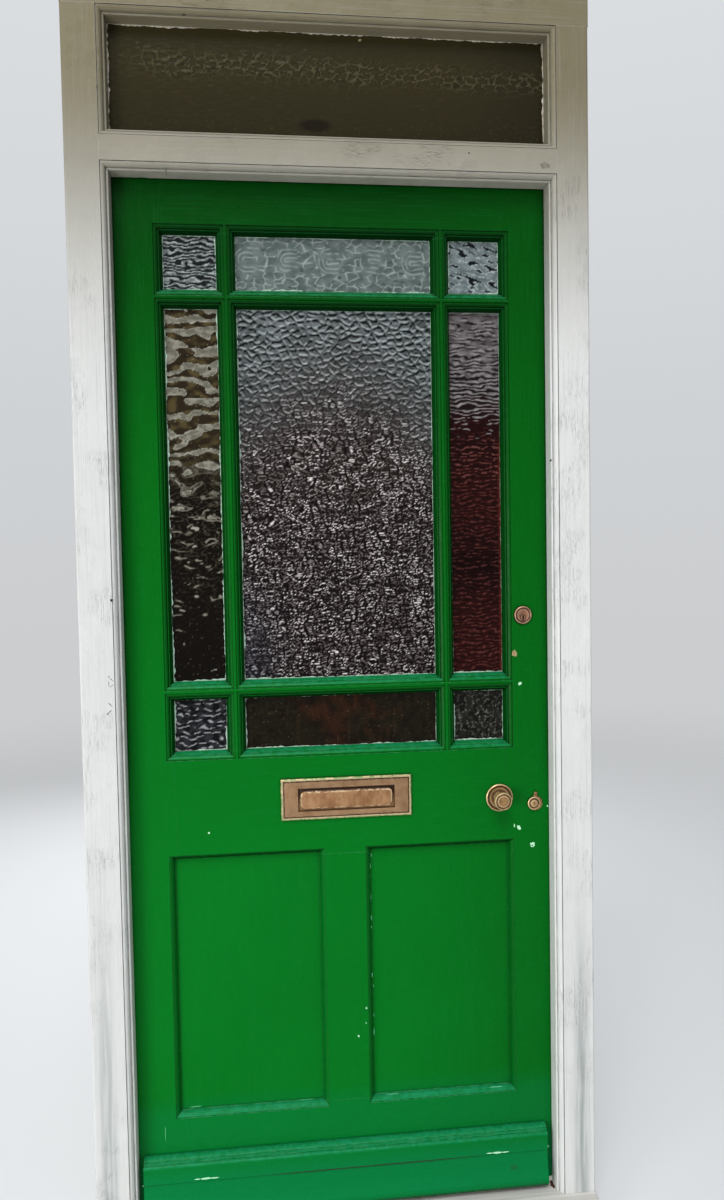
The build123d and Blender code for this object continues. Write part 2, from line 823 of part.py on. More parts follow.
def make_boards(parts):
    """The weatherboard has a fall with two fillets over an upright face, and the kick board flares."""
    top, joint, out = board_top, board_joint, board_out
    steps = [
        ((0, joint), (0, top)),
        ((0, top), (7.5, top - 1.4), (13.0, top - 5.0)),
        ((13.0, top - 5.0), (13.0, top - 6.6)),
        ((13.0, top - 6.6), (17.0, top - 8.6)),
        ((17.0, top - 8.6), (17.0, top - 10.2)),
        ((17.0, top - 10.2), (21.6, top - 13.0), (out, top - 18.5)),
        ((out, top - 18.5), (out, joint)),
        ((out, joint), (0, joint)),
    ]
    parts["weatherboard"] = board(steps)
    start = out - 1.6
    steps = [
        ((0, kick_bottom), (0, joint)),
        ((0, joint), (start, joint)),
        ((start, joint), (start + 2.2, 48.0), (kick_out, 26.0)),
        ((kick_out, 26.0), (kick_out - 1.6, 9.0), (kick_foot_out, kick_bottom)),
        ((kick_foot_out, kick_bottom), (0, kick_bottom)),
    ]
    parts["kick_board"] = board(steps)


def hinge_leaf(side, z):
    """Half a butt hinge: the frame's half has the end knuckles and the door's half the others."""
    z0 = z - hinge_h / 2
    pitch = hinge_h / knuckles
    frame = side == "frame"
    face = -jamb_x if frame else -half
    x0, x1 = (face - hinge_leaf_t, face) if frame else (face, face + hinge_leaf_t)
    plate = block(x0, x1, pin_y - hinge_leaf_w, pin_y, z0, z0 + hinge_h)
    own = [i for i in range(knuckles) if (i % 2 == 0) == frame]
    for i in range(knuckles):
        low, high = z0 + i * pitch, z0 + (i + 1) * pitch
        if i in own:
            ends = (low + knuckle_gap * (i > 0), high - knuckle_gap * (i < knuckles - 1))
            plate += Pos(pin_x, pin_y, ends[0]) * faceted(knuckle_r, round_sides, ends[1] - ends[0])
        else:
            y0, y1 = pin_y - knuckle_r - knuckle_room, pin_y + THROUGH
            low, high = low - knuckle_gap, high + knuckle_gap
            plate -= block(x0 - THROUGH, x1 + THROUGH, y0, y1, low, high)
    bore_r = (hinge_pin_r + pin_clear) / cos(pi / round_sides)
    plate -= Pos(pin_x, pin_y, z0 - THROUGH) * faceted(bore_r, round_sides, hinge_h + 2 * THROUGH)
    return cut(plate, at_screws(hinge_screw_places(side), screw_hole(hinge_screw_length)))


def make_hinges(parts):
    pins = []
    head_r, head_t = pin_head
    pin = Cylinder(hinge_pin_r, hinge_h, align=(Align.CENTER, Align.CENTER, Align.MIN))
    pin += Pos(0, 0, hinge_h) * faceted(head_r, round_sides, head_t)
    for name, z in hinge_heights().items():
        parts[f"{name}_hinge_frame_leaf"] = hinge_leaf("frame", z)
        parts[f"{name}_hinge_door_leaf"] = hinge_leaf("door", z)
        pins.append(Pos(pin_x, pin_y, z - hinge_h / 2) * pin)
    parts["hinge_pins"] = pins


def letter_slot():
    reach = aperture_w / 2 + flap_lap + lug_gap + lug_t + slot_clear
    z0, z1 = aperture_bottom - slot_below, flap_axis_z + slot_above
    return block(letter_x - reach, letter_x + reach, -THROUGH, leaf_t + THROUGH, z0, z1)


def lug_spans():
    """The two lugs that carry the flap, as (x0, x1)."""
    near = aperture_w / 2 + flap_lap + lug_gap
    return [(letter_x - near - lug_t, letter_x - near), (letter_x + near, letter_x + near + lug_t)]


def make_letter_plate(parts):
    face = -letter_t
    rectangle = (
        letter_x - letter_w / 2, letter_x + letter_w / 2,
        letter_z0 - letter_h / 2, letter_z0 + letter_h / 2,
    )
    plate = slab(rectangle, face, 0)
    plate = chamfer(plate.faces().sort_by(Axis.Y)[0].edges(), letter_chamfer)
    outer = slab(grown(rectangle, -letter_line_in), face - THROUGH, face + letter_line_deep)
    inner = slab(grown(rectangle, -letter_line_in - letter_line_w), face - THROUGH, 0)
    plate -= outer - inner
    hole = (letter_x - aperture_w / 2, letter_x + aperture_w / 2, aperture_bottom, aperture_top)
    plate -= slab(hole, face - THROUGH, THROUGH)
    for x0, x1 in lug_spans():
        lug = block(x0, x1, 0, flap_axis_y + lug_half, flap_axis_z - lug_half, flap_axis_z + lug_half)
        eye_r = (trunnion_r + pin_clear) / cos(pi / round_sides)
        plate += lug - faceted_x(flap_axis_y, flap_axis_z, eye_r, round_sides, x0 - THROUGH, x1 + THROUGH)
    for x in (letter_x - plate_bolt_x, letter_x + plate_bolt_x):
        boss = faceted_y(x, letter_z0, plate_boss_r, round_sides, 0, plate_boss_h)
        bore = (plate_bolt_r + pin_clear, screw_sides, plate_bolt_seat, plate_boss_h + THROUGH)
        plate += boss - faceted_y(x, letter_z0, *bore)
    parts["letter_plate"] = plate
    make_flap(parts)


def make_flap(parts):
    """The flap hangs on trunnions in the lugs, its cushion fills the aperture, and a coil closes it."""
    reach = aperture_w / 2 + flap_lap
    low = aperture_bottom - flap_lap
    flap = block(letter_x - reach, letter_x + reach, flap_clear, flap_clear + flap_t, low, flap_axis_z)
    barrel = (flap_barrel_r, round_sides, letter_x - reach, letter_x + reach)
    flap += faceted_x(flap_axis_y, flap_axis_z, *barrel)
    coil_x = letter_x + reach - coil_turns * coil_pitch - 2 * coil_wire_r - coil_end
    notch_z0, notch_z1 = flap_axis_z - 2 * flap_axis_y, flap_axis_z + flap_axis_y
    flap -= block(coil_x, letter_x + reach + THROUGH, -THROUGH, 2 * flap_axis_y, notch_z0, notch_z1)
    spans = lug_spans()
    flap += rod_x(flap_axis_y, flap_axis_z, trunnion_r, spans[0][0], spans[1][1])
    outline = RectangleRounded(pillow_w, pillow_h, pillow_r)
    cushion = extrude(Plane.XZ * outline, amount=pillow_out + flap_clear)
    cushion = chamfer(cushion.faces().sort_by(Axis.Y)[0].edges(), pillow_edge)
    parts["letter_flap"] = flap + Pos(letter_x, flap_clear, aperture_z) * cushion

    place = Pos(coil_x + coil_end, flap_axis_y, flap_axis_z) * Rot(0, 90, 0)
    parts["flap_spring"] = place * coil_solid()


def coil_solid():
    """The closing spring: four-sided wire wound in flat steps, each side of a step as two triangles."""
    mean = trunnion_r + coil_gap + coil_wire_r
    rings = []
    for step in range(coil_turns * coil_sides + 1):
        turn = 2 * pi * step / coil_sides
        rise = coil_pitch * step / coil_sides
        corners = ((coil_wire_r, 0), (0, coil_wire_r), (-coil_wire_r, 0), (0, -coil_wire_r))
        rings.append([((mean + r) * cos(turn), (mean + r) * sin(turn), rise + h) for r, h in corners])
    faces = [Face(Wire.make_polygon(rings[0])), Face(Wire.make_polygon(rings[-1][::-1]))]
    for near, far in zip(rings, rings[1:]):
        for i in range(4):
            j = (i + 1) % 4
            faces.append(Face(Wire.make_polygon([near[i], far[i], far[j]])))
            faces.append(Face(Wire.make_polygon([near[i], far[j], near[j]])))
    return Solid(Shell(faces))


def plate_bolts():
    """The letter plate's bolts, from their washers and nuts inside to the bosses."""
    washer_r, washer_t = plate_washer
    nut_r, nut_t = plate_nut
    nut_y = leaf_t + washer_t + nut_t
    bolts = []
    for x in (letter_x - plate_bolt_x, letter_x + plate_bolt_x):
        bolt = faceted_y(x, letter_z0, plate_bolt_r, screw_sides, plate_bolt_seat, nut_y + plate_bolt_past)
        bolt += faceted_y(x, letter_z0, washer_r, round_sides, leaf_t, leaf_t + washer_t)
        bolt += faceted_y(x, letter_z0, nut_r, NUT_SIDES, leaf_t, nut_y)
        bolts.append(bolt)
    return bolts


def keyhole_tool(y0, y1):
    hole = rod_y(key_x, key_z, key_r, y0, y1)
    return hole + block(key_x - key_slot_w / 2, key_x + key_slot_w / 2, y0, y1, key_z - key_slot_h, key_z)


def rose_section():
    """The dished rose, as (radius, y) points with the leaf's face at 0."""
    inner = neck_r + neck_gap
    rim = rose_r - rose_rim[0]
    lip = inner + rose_lip[0]
    return [
        (inner, 0), (rose_r, 0), (rose_r, rose_rim[1] - rose_t), (rim, -rose_t),
        (rose_r - rose_dish[0], -rose_dish[1]), (inner + rose_floor[0], -rose_floor[1]),
        (lip, -rose_lip[1]), (inner, -rose_lip[1]),
    ]


def knob_section(out, start, ringed):
    """A drum knob, with a raised rim round a domed middle where it is ringed, as (radius, y) points."""
    neck_out, neck_l, sweep_l = knob_neck
    flare_in, flare_l, edge_l = knob_flare
    neck = start - neck_l
    flare = neck - sweep_l - flare_l
    rim = knob_r - knob_edge[0]
    foot = [(0, start), (neck_r, start), (neck_r, neck)]
    drum = [(knob_r, flare - edge_l), (knob_r, knob_edge[1] - out), (rim, -out)]
    if not ringed:
        return foot + drum + [(0, -out)]
    sweep = [(neck_r + neck_out, neck - sweep_l), (knob_r - flare_in, flare)]
    well = [(rim - knob_sunk[0], knob_sunk[1] - out), (knob_dome[0], knob_dome[1] - out)]
    return foot + sweep + drum + well + [(0, -out - knob_crown)]


def make_knobs(parts):
    parts["knob_rose"] = turned(rose_section(), knob_x, knob_zc)
    inner_y = case_y1 + inner_knob_gap
    knob = turned(knob_section(knob_out, -knob_stand, True), knob_x, knob_zc)
    reach = spindle / 2
    y0, y1 = -knob_stand - spindle_end / 2, inner_y + spindle_end
    bar = block(knob_x - reach, knob_x + reach, y0, y1, knob_zc - reach, knob_zc + reach)
    parts["outer_knob"] = knob + bar
    inner = knob_section(knob_out - knob_inner_less, -knob_stand, False)
    mirrored = [(r, inner_y - knob_stand - y) for r, y in inner]
    parts["inner_knob"] = turned(mirrored, knob_x, knob_zc) - bar


def bolt_solid(x1, y, z, length, size, nose):
    """A sliding bolt along X whose tip at x1 is bevelled towards the leaf's closing side."""
    wide, high = size
    body = block(x1 - length, x1, y - wide / 2, y + wide / 2, z - high / 2, z + high / 2)
    if nose:
        edge = body.faces().sort_by(Axis.X)[-1].edges().sort_by(Axis.Y)[0]
        body = chamfer(edge, wide * nose_bevel)
    return body


def bolt_way(x1, y, z, length, size):
    """The room that a bolt slides in, open at the case's edge."""
    wide, high = size[0] / 2 + bolt_clear, size[1] / 2 + bolt_clear
    return block(x1 - length - bolt_spare, x1 + THROUGH, y - wide, y + wide, z - high, z + high)


def case_solid(width, height, depth, z):
    case = block(half - width, half, leaf_t, leaf_t + depth, z - height / 2, z + height / 2)
    front = case.faces().sort_by(Axis.Y)[-1].edges()
    return chamfer(front, case_chamfer)


def make_rim_lock(parts):
    y = leaf_t + lock_case_t / 2
    latch_z, bolt_z = knob_zc + latch_up, knob_zc - bolt_drop
    tip = half - bolt_rest_in
    case = case_solid(lock_case_w, lock_case_h, lock_case_t, lock_case_z)
    case -= bolt_way(half, y, latch_z, latch_length, latch_size)
    case -= bolt_way(half, y, bolt_z, bolt_length, bolt_size)
    case -= faceted_y(knob_x, knob_zc, case_bore_r, round_sides, leaf_t - THROUGH, case_y1 + THROUGH)
    case -= keyhole_tool(leaf_t - THROUGH, case_y1 + THROUGH)
    parts["rim_lock_case"] = cut(case, lock_case_holes(case_y1))
    parts["lock_latch_bolt"] = bolt_solid(tip, y, latch_z, latch_length, latch_size, True)
    parts["lock_dead_bolt"] = bolt_solid(tip, y, bolt_z, bolt_length, bolt_size, False)
    low, high = bolt_z - bolt_size[1] / 2, latch_z + latch_size[1] / 2
    parts["rim_lock_keep"] = keep_solid(keep_w, lock_case_t, lock_case_h, lock_case_z, low, high)


def lock_case_holes(y):
    places = [place for place in lock_screw_places() if place[1] == y]
    return at_screws(places, screw_hole(case_screw_length(y)))


def keep_solid(width, depth, height, z, low, high):
    """A box keep screwed to the post: its pocket is open to the leaf for bolts from low to high."""
    face = leaf_t + depth
    keep = block(keep_x, keep_x + width, leaf_t, face, z - height / 2, z + height / 2)
    keep = chamfer(keep.faces().sort_by(Axis.Y)[-1].edges(), case_chamfer)
    x1 = keep_x + width - keep_back
    y0, y1 = leaf_t + keep_wall, face - keep_wall
    keep -= block(keep_x - THROUGH, x1, y0, y1, low - keep_room, high + keep_room)
    holes = at_screws(keep_screw_places(width, face, z, height), screw_hole(case_screw_length(face)))
    return cut(keep, holes)


def make_keyhole(parts):
    """The keyhole plate carries the pivot that its cover swings on."""
    pivot_z = key_z + pivot_up
    plate = rod_y(key_x, key_z, key_plate_r, -key_plate_t, 0)
    plate += block(key_x - pivot_ear_r, key_x + pivot_ear_r, -key_plate_t, 0, key_z, pivot_z)
    plate += faceted_y(key_x, pivot_z, pivot_ear_r, round_sides, -key_plate_t, 0)
    plate -= keyhole_tool(-key_plate_t - THROUGH, THROUGH)
    back = -key_plate_t - cover_gap
    head_r, head_t = pivot_head
    eye_front = back - cover_floor - cover_gap
    plate += rod_y(key_x, pivot_z, pivot_r, eye_front, 0)
    head = faceted_y(key_x, pivot_z, head_r, round_sides, eye_front - head_t, eye_front)
    parts["keyhole_plate"] = plate + head

    cover = turned(cover_section(back), key_x, key_z)
    floor = back - cover_floor
    neck = cover_neck_w / 2
    root_z = key_z + cover_r - cover_floor
    cover += block(key_x - neck, key_x + neck, floor, back, root_z, pivot_z)
    cover += faceted_y(key_x, pivot_z, cover_eye_r, round_sides, floor, back)
    eye_r = (pivot_r + pin_clear) / cos(pi / round_sides)
    cover -= faceted_y(key_x, pivot_z, eye_r, round_sides, floor - THROUGH, back + THROUGH)
    pivot = Axis((key_x, 0, pivot_z), (0, 1, 0))
    parts["keyhole_cover"] = cover.rotate(pivot, cover_tilt)


def cover_section(back):
    """The keyhole cover: a raised ring round a sunk channel and a domed boss, as (radius, y) points."""
    front = back - cover_t
    floor = back - cover_floor
    ring_in, ring_edge, channel_in = cover_ring
    return [
        (0, back), (cover_r, back), (cover_r, front + ring_edge), (cover_r - ring_in, front),
        (cover_r - channel_in, floor), (cover_boss_r, front), (0, front - cover_crown),
    ]


def cylinder_section():
    """The night latch cylinder and its ring, as (radius, y) points."""
    ring = cylinder_ring_r
    rim_in, rim_edge, face_in = cylinder_rim
    return [
        (0, cylinder_length), (cylinder_r, cylinder_length), (cylinder_r, 0), (ring, 0),
        (ring, rim_edge - cylinder_ring_t), (ring - rim_in, -cylinder_ring_t),
        (ring - face_in, -cylinder_face), (0, -cylinder_face),
    ]


def turn_section():
    """The night latch's inner knob and its stem, as (radius, y) points."""
    stem = night_y1 - turn_in + turn_gap
    start = night_y1 + turn_gap
    end = night_y1 + turn_out
    neck = start + turn_neck[1]
    return [
        (0, stem), (turn_stem_r, stem), (turn_stem_r, start), (turn_neck[0], start), (turn_neck[0], neck),
        (turn_r, neck + turn_flare), (turn_r, end - turn_edge), (turn_r - turn_edge, end), (0, end),
    ]


def make_night_latch(parts):
    plug_z = night_zc - plug_drop
    body = turned(cylinder_section(), cylinder_x, night_zc)
    bore_r = plug_r + plug_clear
    bore = rod_y(cylinder_x, plug_z, bore_r, -cylinder_ring_t, cylinder_length + THROUGH)
    parts["cylinder_body"] = body - bore
    front = -cylinder_face - plug_proud
    plug = rod_y(cylinder_x, plug_z, plug_r, front, cylinder_length)
    wide, high, deep = keyway
    x0, z0 = cylinder_x - wide / 2, plug_z - high / 2
    plug -= block(x0, x0 + wide, front - THROUGH, front + deep, z0, z0 + high)
    high, wide = tail_bar
    x0, z0 = cylinder_x - wide / 2, plug_z - high / 2
    tail_y = leaf_t + tail_in
    parts["cylinder_plug"] = plug + block(x0, x0 + wide, cylinder_length, tail_y, z0, z0 + high)

    y = leaf_t + night_case_t / 2
    turn_x = half - turn_backset
    case = case_solid(night_case_w, night_case_h, night_case_t, night_zc)
    case -= rod_y(cylinder_x, plug_z, plug_r + THROUGH, leaf_t - THROUGH, tail_y + THROUGH)
    stem_r = turn_stem_r + pin_clear
    case -= rod_y(turn_x, night_zc, stem_r, night_y1 - turn_in, night_y1 + THROUGH)
    case -= bolt_way(half, y, night_zc, night_bolt_length, night_bolt)
    parts["night_latch_case"] = cut(case, lock_case_holes(night_y1))
    tip = half - bolt_rest_in
    parts["night_latch_bolt"] = bolt_solid(tip, y, night_zc, night_bolt_length, night_bolt, True)
    low, high = night_zc - night_bolt[1] / 2, night_zc + night_bolt[1] / 2
    parts["night_latch_keep"] = keep_solid(night_keep_w, night_case_t, night_case_h, night_zc, low, high)
    parts["night_latch_knob"] = turned(turn_section(), turn_x, night_zc)


def make_fixings(parts):
    hinge_screw = screw_solid(hinge_screw_length)
    parts["frame_screws"] = at_screws(hinge_screw_places("frame"), hinge_screw)
    for place in all_keep_screw_places():
        parts["frame_screws"] += at_screws([place], screw_solid(case_screw_length(place[1])))
    fixings = at_screws(hinge_screw_places("door"), hinge_screw)
    for place in lock_screw_places():
        fixings += at_screws([place], screw_solid(case_screw_length(place[1])))
    parts["leaf_fixings"] = fixings + plate_bolts()


def main():
    parts = {}
    make_frame(parts)
    make_leaf_wood(parts)
    make_glass(parts)
    make_boards(parts)
    make_hinges(parts)
    make_letter_plate(parts)
    make_knobs(parts)
    make_rim_lock(parts)
    make_keyhole(parts)
    make_night_latch(parts)
    make_fixings(parts)
    os.makedirs("parts", exist_ok=True)
    for name, shape in parts.items():
        solids = shape if isinstance(shape, list) else [shape]
        solids = [solid for piece in solids for solid in piece.solids()]
        whole = Compound(children=solids) if len(solids) > 1 else solids[0]
        export_step(whole, f"parts/{name}.step")
    print(len(parts), "nodes")


main()
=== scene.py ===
"""The panelled front door's looks.

Brushed paint, old obscured glass, worn brass and chips, and the studio round them.
"""
import json
import math
from string import ascii_lowercase

import bmesh
import bpy
import numpy as np
from mathutils import Matrix, Vector

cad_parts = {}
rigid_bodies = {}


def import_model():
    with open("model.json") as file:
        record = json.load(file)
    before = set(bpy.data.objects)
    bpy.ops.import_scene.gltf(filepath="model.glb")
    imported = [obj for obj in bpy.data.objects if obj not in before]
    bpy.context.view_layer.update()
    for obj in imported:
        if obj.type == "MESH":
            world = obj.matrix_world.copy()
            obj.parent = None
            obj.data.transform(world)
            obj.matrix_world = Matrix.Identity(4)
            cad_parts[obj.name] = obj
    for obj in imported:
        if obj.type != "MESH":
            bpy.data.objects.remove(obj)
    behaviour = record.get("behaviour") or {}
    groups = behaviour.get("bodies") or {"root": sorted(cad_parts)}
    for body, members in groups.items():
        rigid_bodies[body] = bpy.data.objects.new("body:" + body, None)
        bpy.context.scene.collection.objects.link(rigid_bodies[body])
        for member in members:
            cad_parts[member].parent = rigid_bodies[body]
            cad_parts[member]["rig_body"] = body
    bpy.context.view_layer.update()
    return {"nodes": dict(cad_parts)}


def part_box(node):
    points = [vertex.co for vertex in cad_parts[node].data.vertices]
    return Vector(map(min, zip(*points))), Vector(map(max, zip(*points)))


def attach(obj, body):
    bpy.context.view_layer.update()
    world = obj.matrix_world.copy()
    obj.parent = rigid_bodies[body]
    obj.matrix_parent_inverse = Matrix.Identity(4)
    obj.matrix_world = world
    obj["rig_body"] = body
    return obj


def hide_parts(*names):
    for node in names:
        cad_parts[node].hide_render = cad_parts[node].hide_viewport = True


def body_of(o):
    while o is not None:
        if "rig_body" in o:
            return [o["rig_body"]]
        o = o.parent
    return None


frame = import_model()

# The photograph's camera, in the door's frame
PHOTO_SIZE = (724, 1200)
LENS_MM = 27.0
SENSOR_MM = 36.0
CAMERA_PLACE = Vector((-0.1489, -1.7231, 1.3119))
CAMERA_PITCH, CAMERA_YAW, CAMERA_ROLL = (math.radians(a) for a in (2.467, -6.303, -1.008))

# Heights over the sill between which the colour changes: painted shade up the leaf, over the panels, on the
# reveals and, with dirt, at the frame's head; a bluer green low on the leaf; grey on the posts' feet
LEAF_MIDDLE_SHADE = (0.6, 1.5)
LEAF_TOP_SHADE = (1.4, 2.05)
OVER_PANELS = (0.84, 0.96)
BLUER_LOW_RAIL = (0.29, 0.24)
BLUER_LOW_BOARD = (0.17, 0.13)
FRAME_TOP_DIRT_AND_SHADE = (1.62, 2.24)
REVEAL_TOP_SHADE = (1.2, 2.0)
POST_FEET = (0.8, 0.2)

# Across, from the door's middle: where the leaf is painted darker as shade and where the frame pales, and the
# middle and half width of the grey band on the posts' feet
LEAF_RIGHT_SHADE = (0.05, 0.42)
FRAME_WIDTH = (-0.4, 0.4)
GREY_BAND = (0.457, 0.024)

# Glass: how far the bars lap it, how its front's grid is laid and how deep the pattern is
PANE_LAP = 0.008
FANLIGHT_LAP = 0.0115
GRID_STEP = 0.0018
WIDE_GRID_STEP = 0.0019
FANLIGHT_GRID_STEP = 0.0022
BACK_STEPS = 3
FLAT_EDGE = 0.002
PANE_RELIEF = 0.0007

# Ragged paint on the glass: its step along the edge, its thickness, how far it goes under the bar and into
# the glass, and its reach at the bottom, right, top and left of each pane
PAINT_STEP = 0.003
PAINT_THICK = 0.0003
PAINT_UNDER = 0.0004
PAINT_SINK = 0.0001
PANE_EDGES = {
    "most": (0.0040, 0.0028, 0.0014, 0.0042),
    "middle_right": (0.0030, 0.0006, 0.0006, 0.0010),
    "bottom_centre": (0.0034, 0.0010, 0.0010, 0.0030),
    "middle_centre": (0.0034, 0.0012, 0.0010, 0.0040),
    "fanlight": (0.005, 0.004, 0.004, 0.005),
}

# Chips: how thick they stand out, how far they go in, how much smaller their top is, and their corners
MARK_THICK = 0.00015
MARK_SINK = 0.0001
MARK_TOP = 0.86
MARK_CORNERS = 18

# Door furniture: the plate's rim, the flap's cushion, the cover, the plug and the lip over the flap's spring
PLATE_RIM = 0.0048
PLATE_LINE = 0.0024
CUSHION_HALF = (0.0895, 0.0175)
CUSHION_DROP = 0.0022
CUSHION_CORNER = 0.009
COVER_RADIUS = 0.013
PLUG_FACE = (0.0044, 0.0058)
KEYWAY_HALF = (0.0016, 0.0042)
LIP_LAP = 0.002
LIP_THICK = 0.0004
LIP_PLACE = 0.0011

# Arrises of the metal pieces, and the angles over which an edge is cut, rounded or left sharp
FINE_ARRIS = 0.0003
BROAD_ARRIS = 0.0007
FLAT_ANGLE, ARRIS_ANGLE, SHARP_ANGLE = (math.radians(a) for a in (0.5, 32, 38))

# Screen colours of the metals: clean, tarnished, and worn, which is also the colour of painted highlights
BRASS = (172, 134, 88), (128, 94, 56), (238, 210, 162)
COPPER = (158, 112, 84), (120, 80, 58), (222, 184, 152)
BOLT_BRASS = (190, 158, 100), (160, 128, 78), (226, 202, 150)
BRASS_BLACK = (30, 20, 10)

# The pale surround, from straight down to straight up, and how bright it is as a light on the door
SKY = (
    (0.0, (0.58, 0.59, 0.6)), (0.46, (0.6, 0.61, 0.62)), (0.56, (0.62, 0.64, 0.66)), (1.0, (0.8, 0.83, 0.86)),
)
DIFFUSE_SKY = 0.58
FLOOR_REACH = 30.0
FLOOR_FADE = (1.2, 7.0)

# Each lamp's name, place, aim, size and watts
LAMPS = (
    ("key", (-1.0, -5.0, 8.0), (0, 0, 1.0), 3.5, 360.0),
    ("fill", (-2.8, -2.9, 0.95), (0, 0, 0.6), 1.5, 76.0),
    ("back", (-0.6, 3.2, 2.4), (0, 0, 1.1), 2.2, 60.0),
)


def add_object(name, data):
    made = bpy.data.objects.new(name, data)
    bpy.context.scene.collection.objects.link(made)
    return made


def camera_axes():
    """The camera's right, up and back directions."""
    turn = Matrix.Rotation(CAMERA_ROLL, 3, "Z") @ Matrix.Rotation(CAMERA_PITCH, 3, "X")
    turn = turn @ Matrix.Rotation(CAMERA_YAW, 3, "Y")
    rows = turn @ Matrix(((1, 0, 0), (0, 0, -1), (0, 1, 0)))
    return rows[0].copy(), -rows[1], -rows[2]


def make_camera():
    data = bpy.data.cameras.new("camera")
    data.lens = LENS_MM
    data.sensor_width = SENSOR_MM
    camera = add_object("camera", data)
    right, up, back = camera_axes()
    place = Matrix((right, up, back)).transposed().to_4x4()
    place.translation = CAMERA_PLACE
    camera.matrix_world = place
    bpy.context.scene.camera = camera


def on_plane(pixel, y):
    """The point at that y which the photograph shows at a pixel."""
    right, up, back = camera_axes()
    focal = LENS_MM / SENSOR_MM * PHOTO_SIZE[1]
    across = (pixel[0] - PHOTO_SIZE[0] / 2) / focal
    down = (pixel[1] - PHOTO_SIZE[1] / 2) / focal
    ray = right * across - up * down - back
    return CAMERA_PLACE + ray * ((y - CAMERA_PLACE.y) / ray.y)


class Nodes:
    """A node tree under construction: an input is a number, a colour or another node's output."""

    def __init__(self, tree):
        self.tree = tree

    def node(self, kind, inputs=(), **settings):
        made = self.tree.nodes.new(kind)
        for name, value in settings.items():
            setattr(made, name, value)
        for name, value in dict(inputs).items():
            self.feed(made.inputs[name], value)
        return made

    def feed(self, socket, value):
        if isinstance(value, bpy.types.NodeSocket):
            self.tree.links.new(value, socket)
            return
        if isinstance(value, tuple) and len(value) == 3 and socket.type == "RGBA":
            value = (*value, 1.0)
        socket.default_value = value

    def math(self, operation, a, b=0.0):
        return self.node("ShaderNodeMath", {0: a, 1: b}, operation=operation).outputs[0]


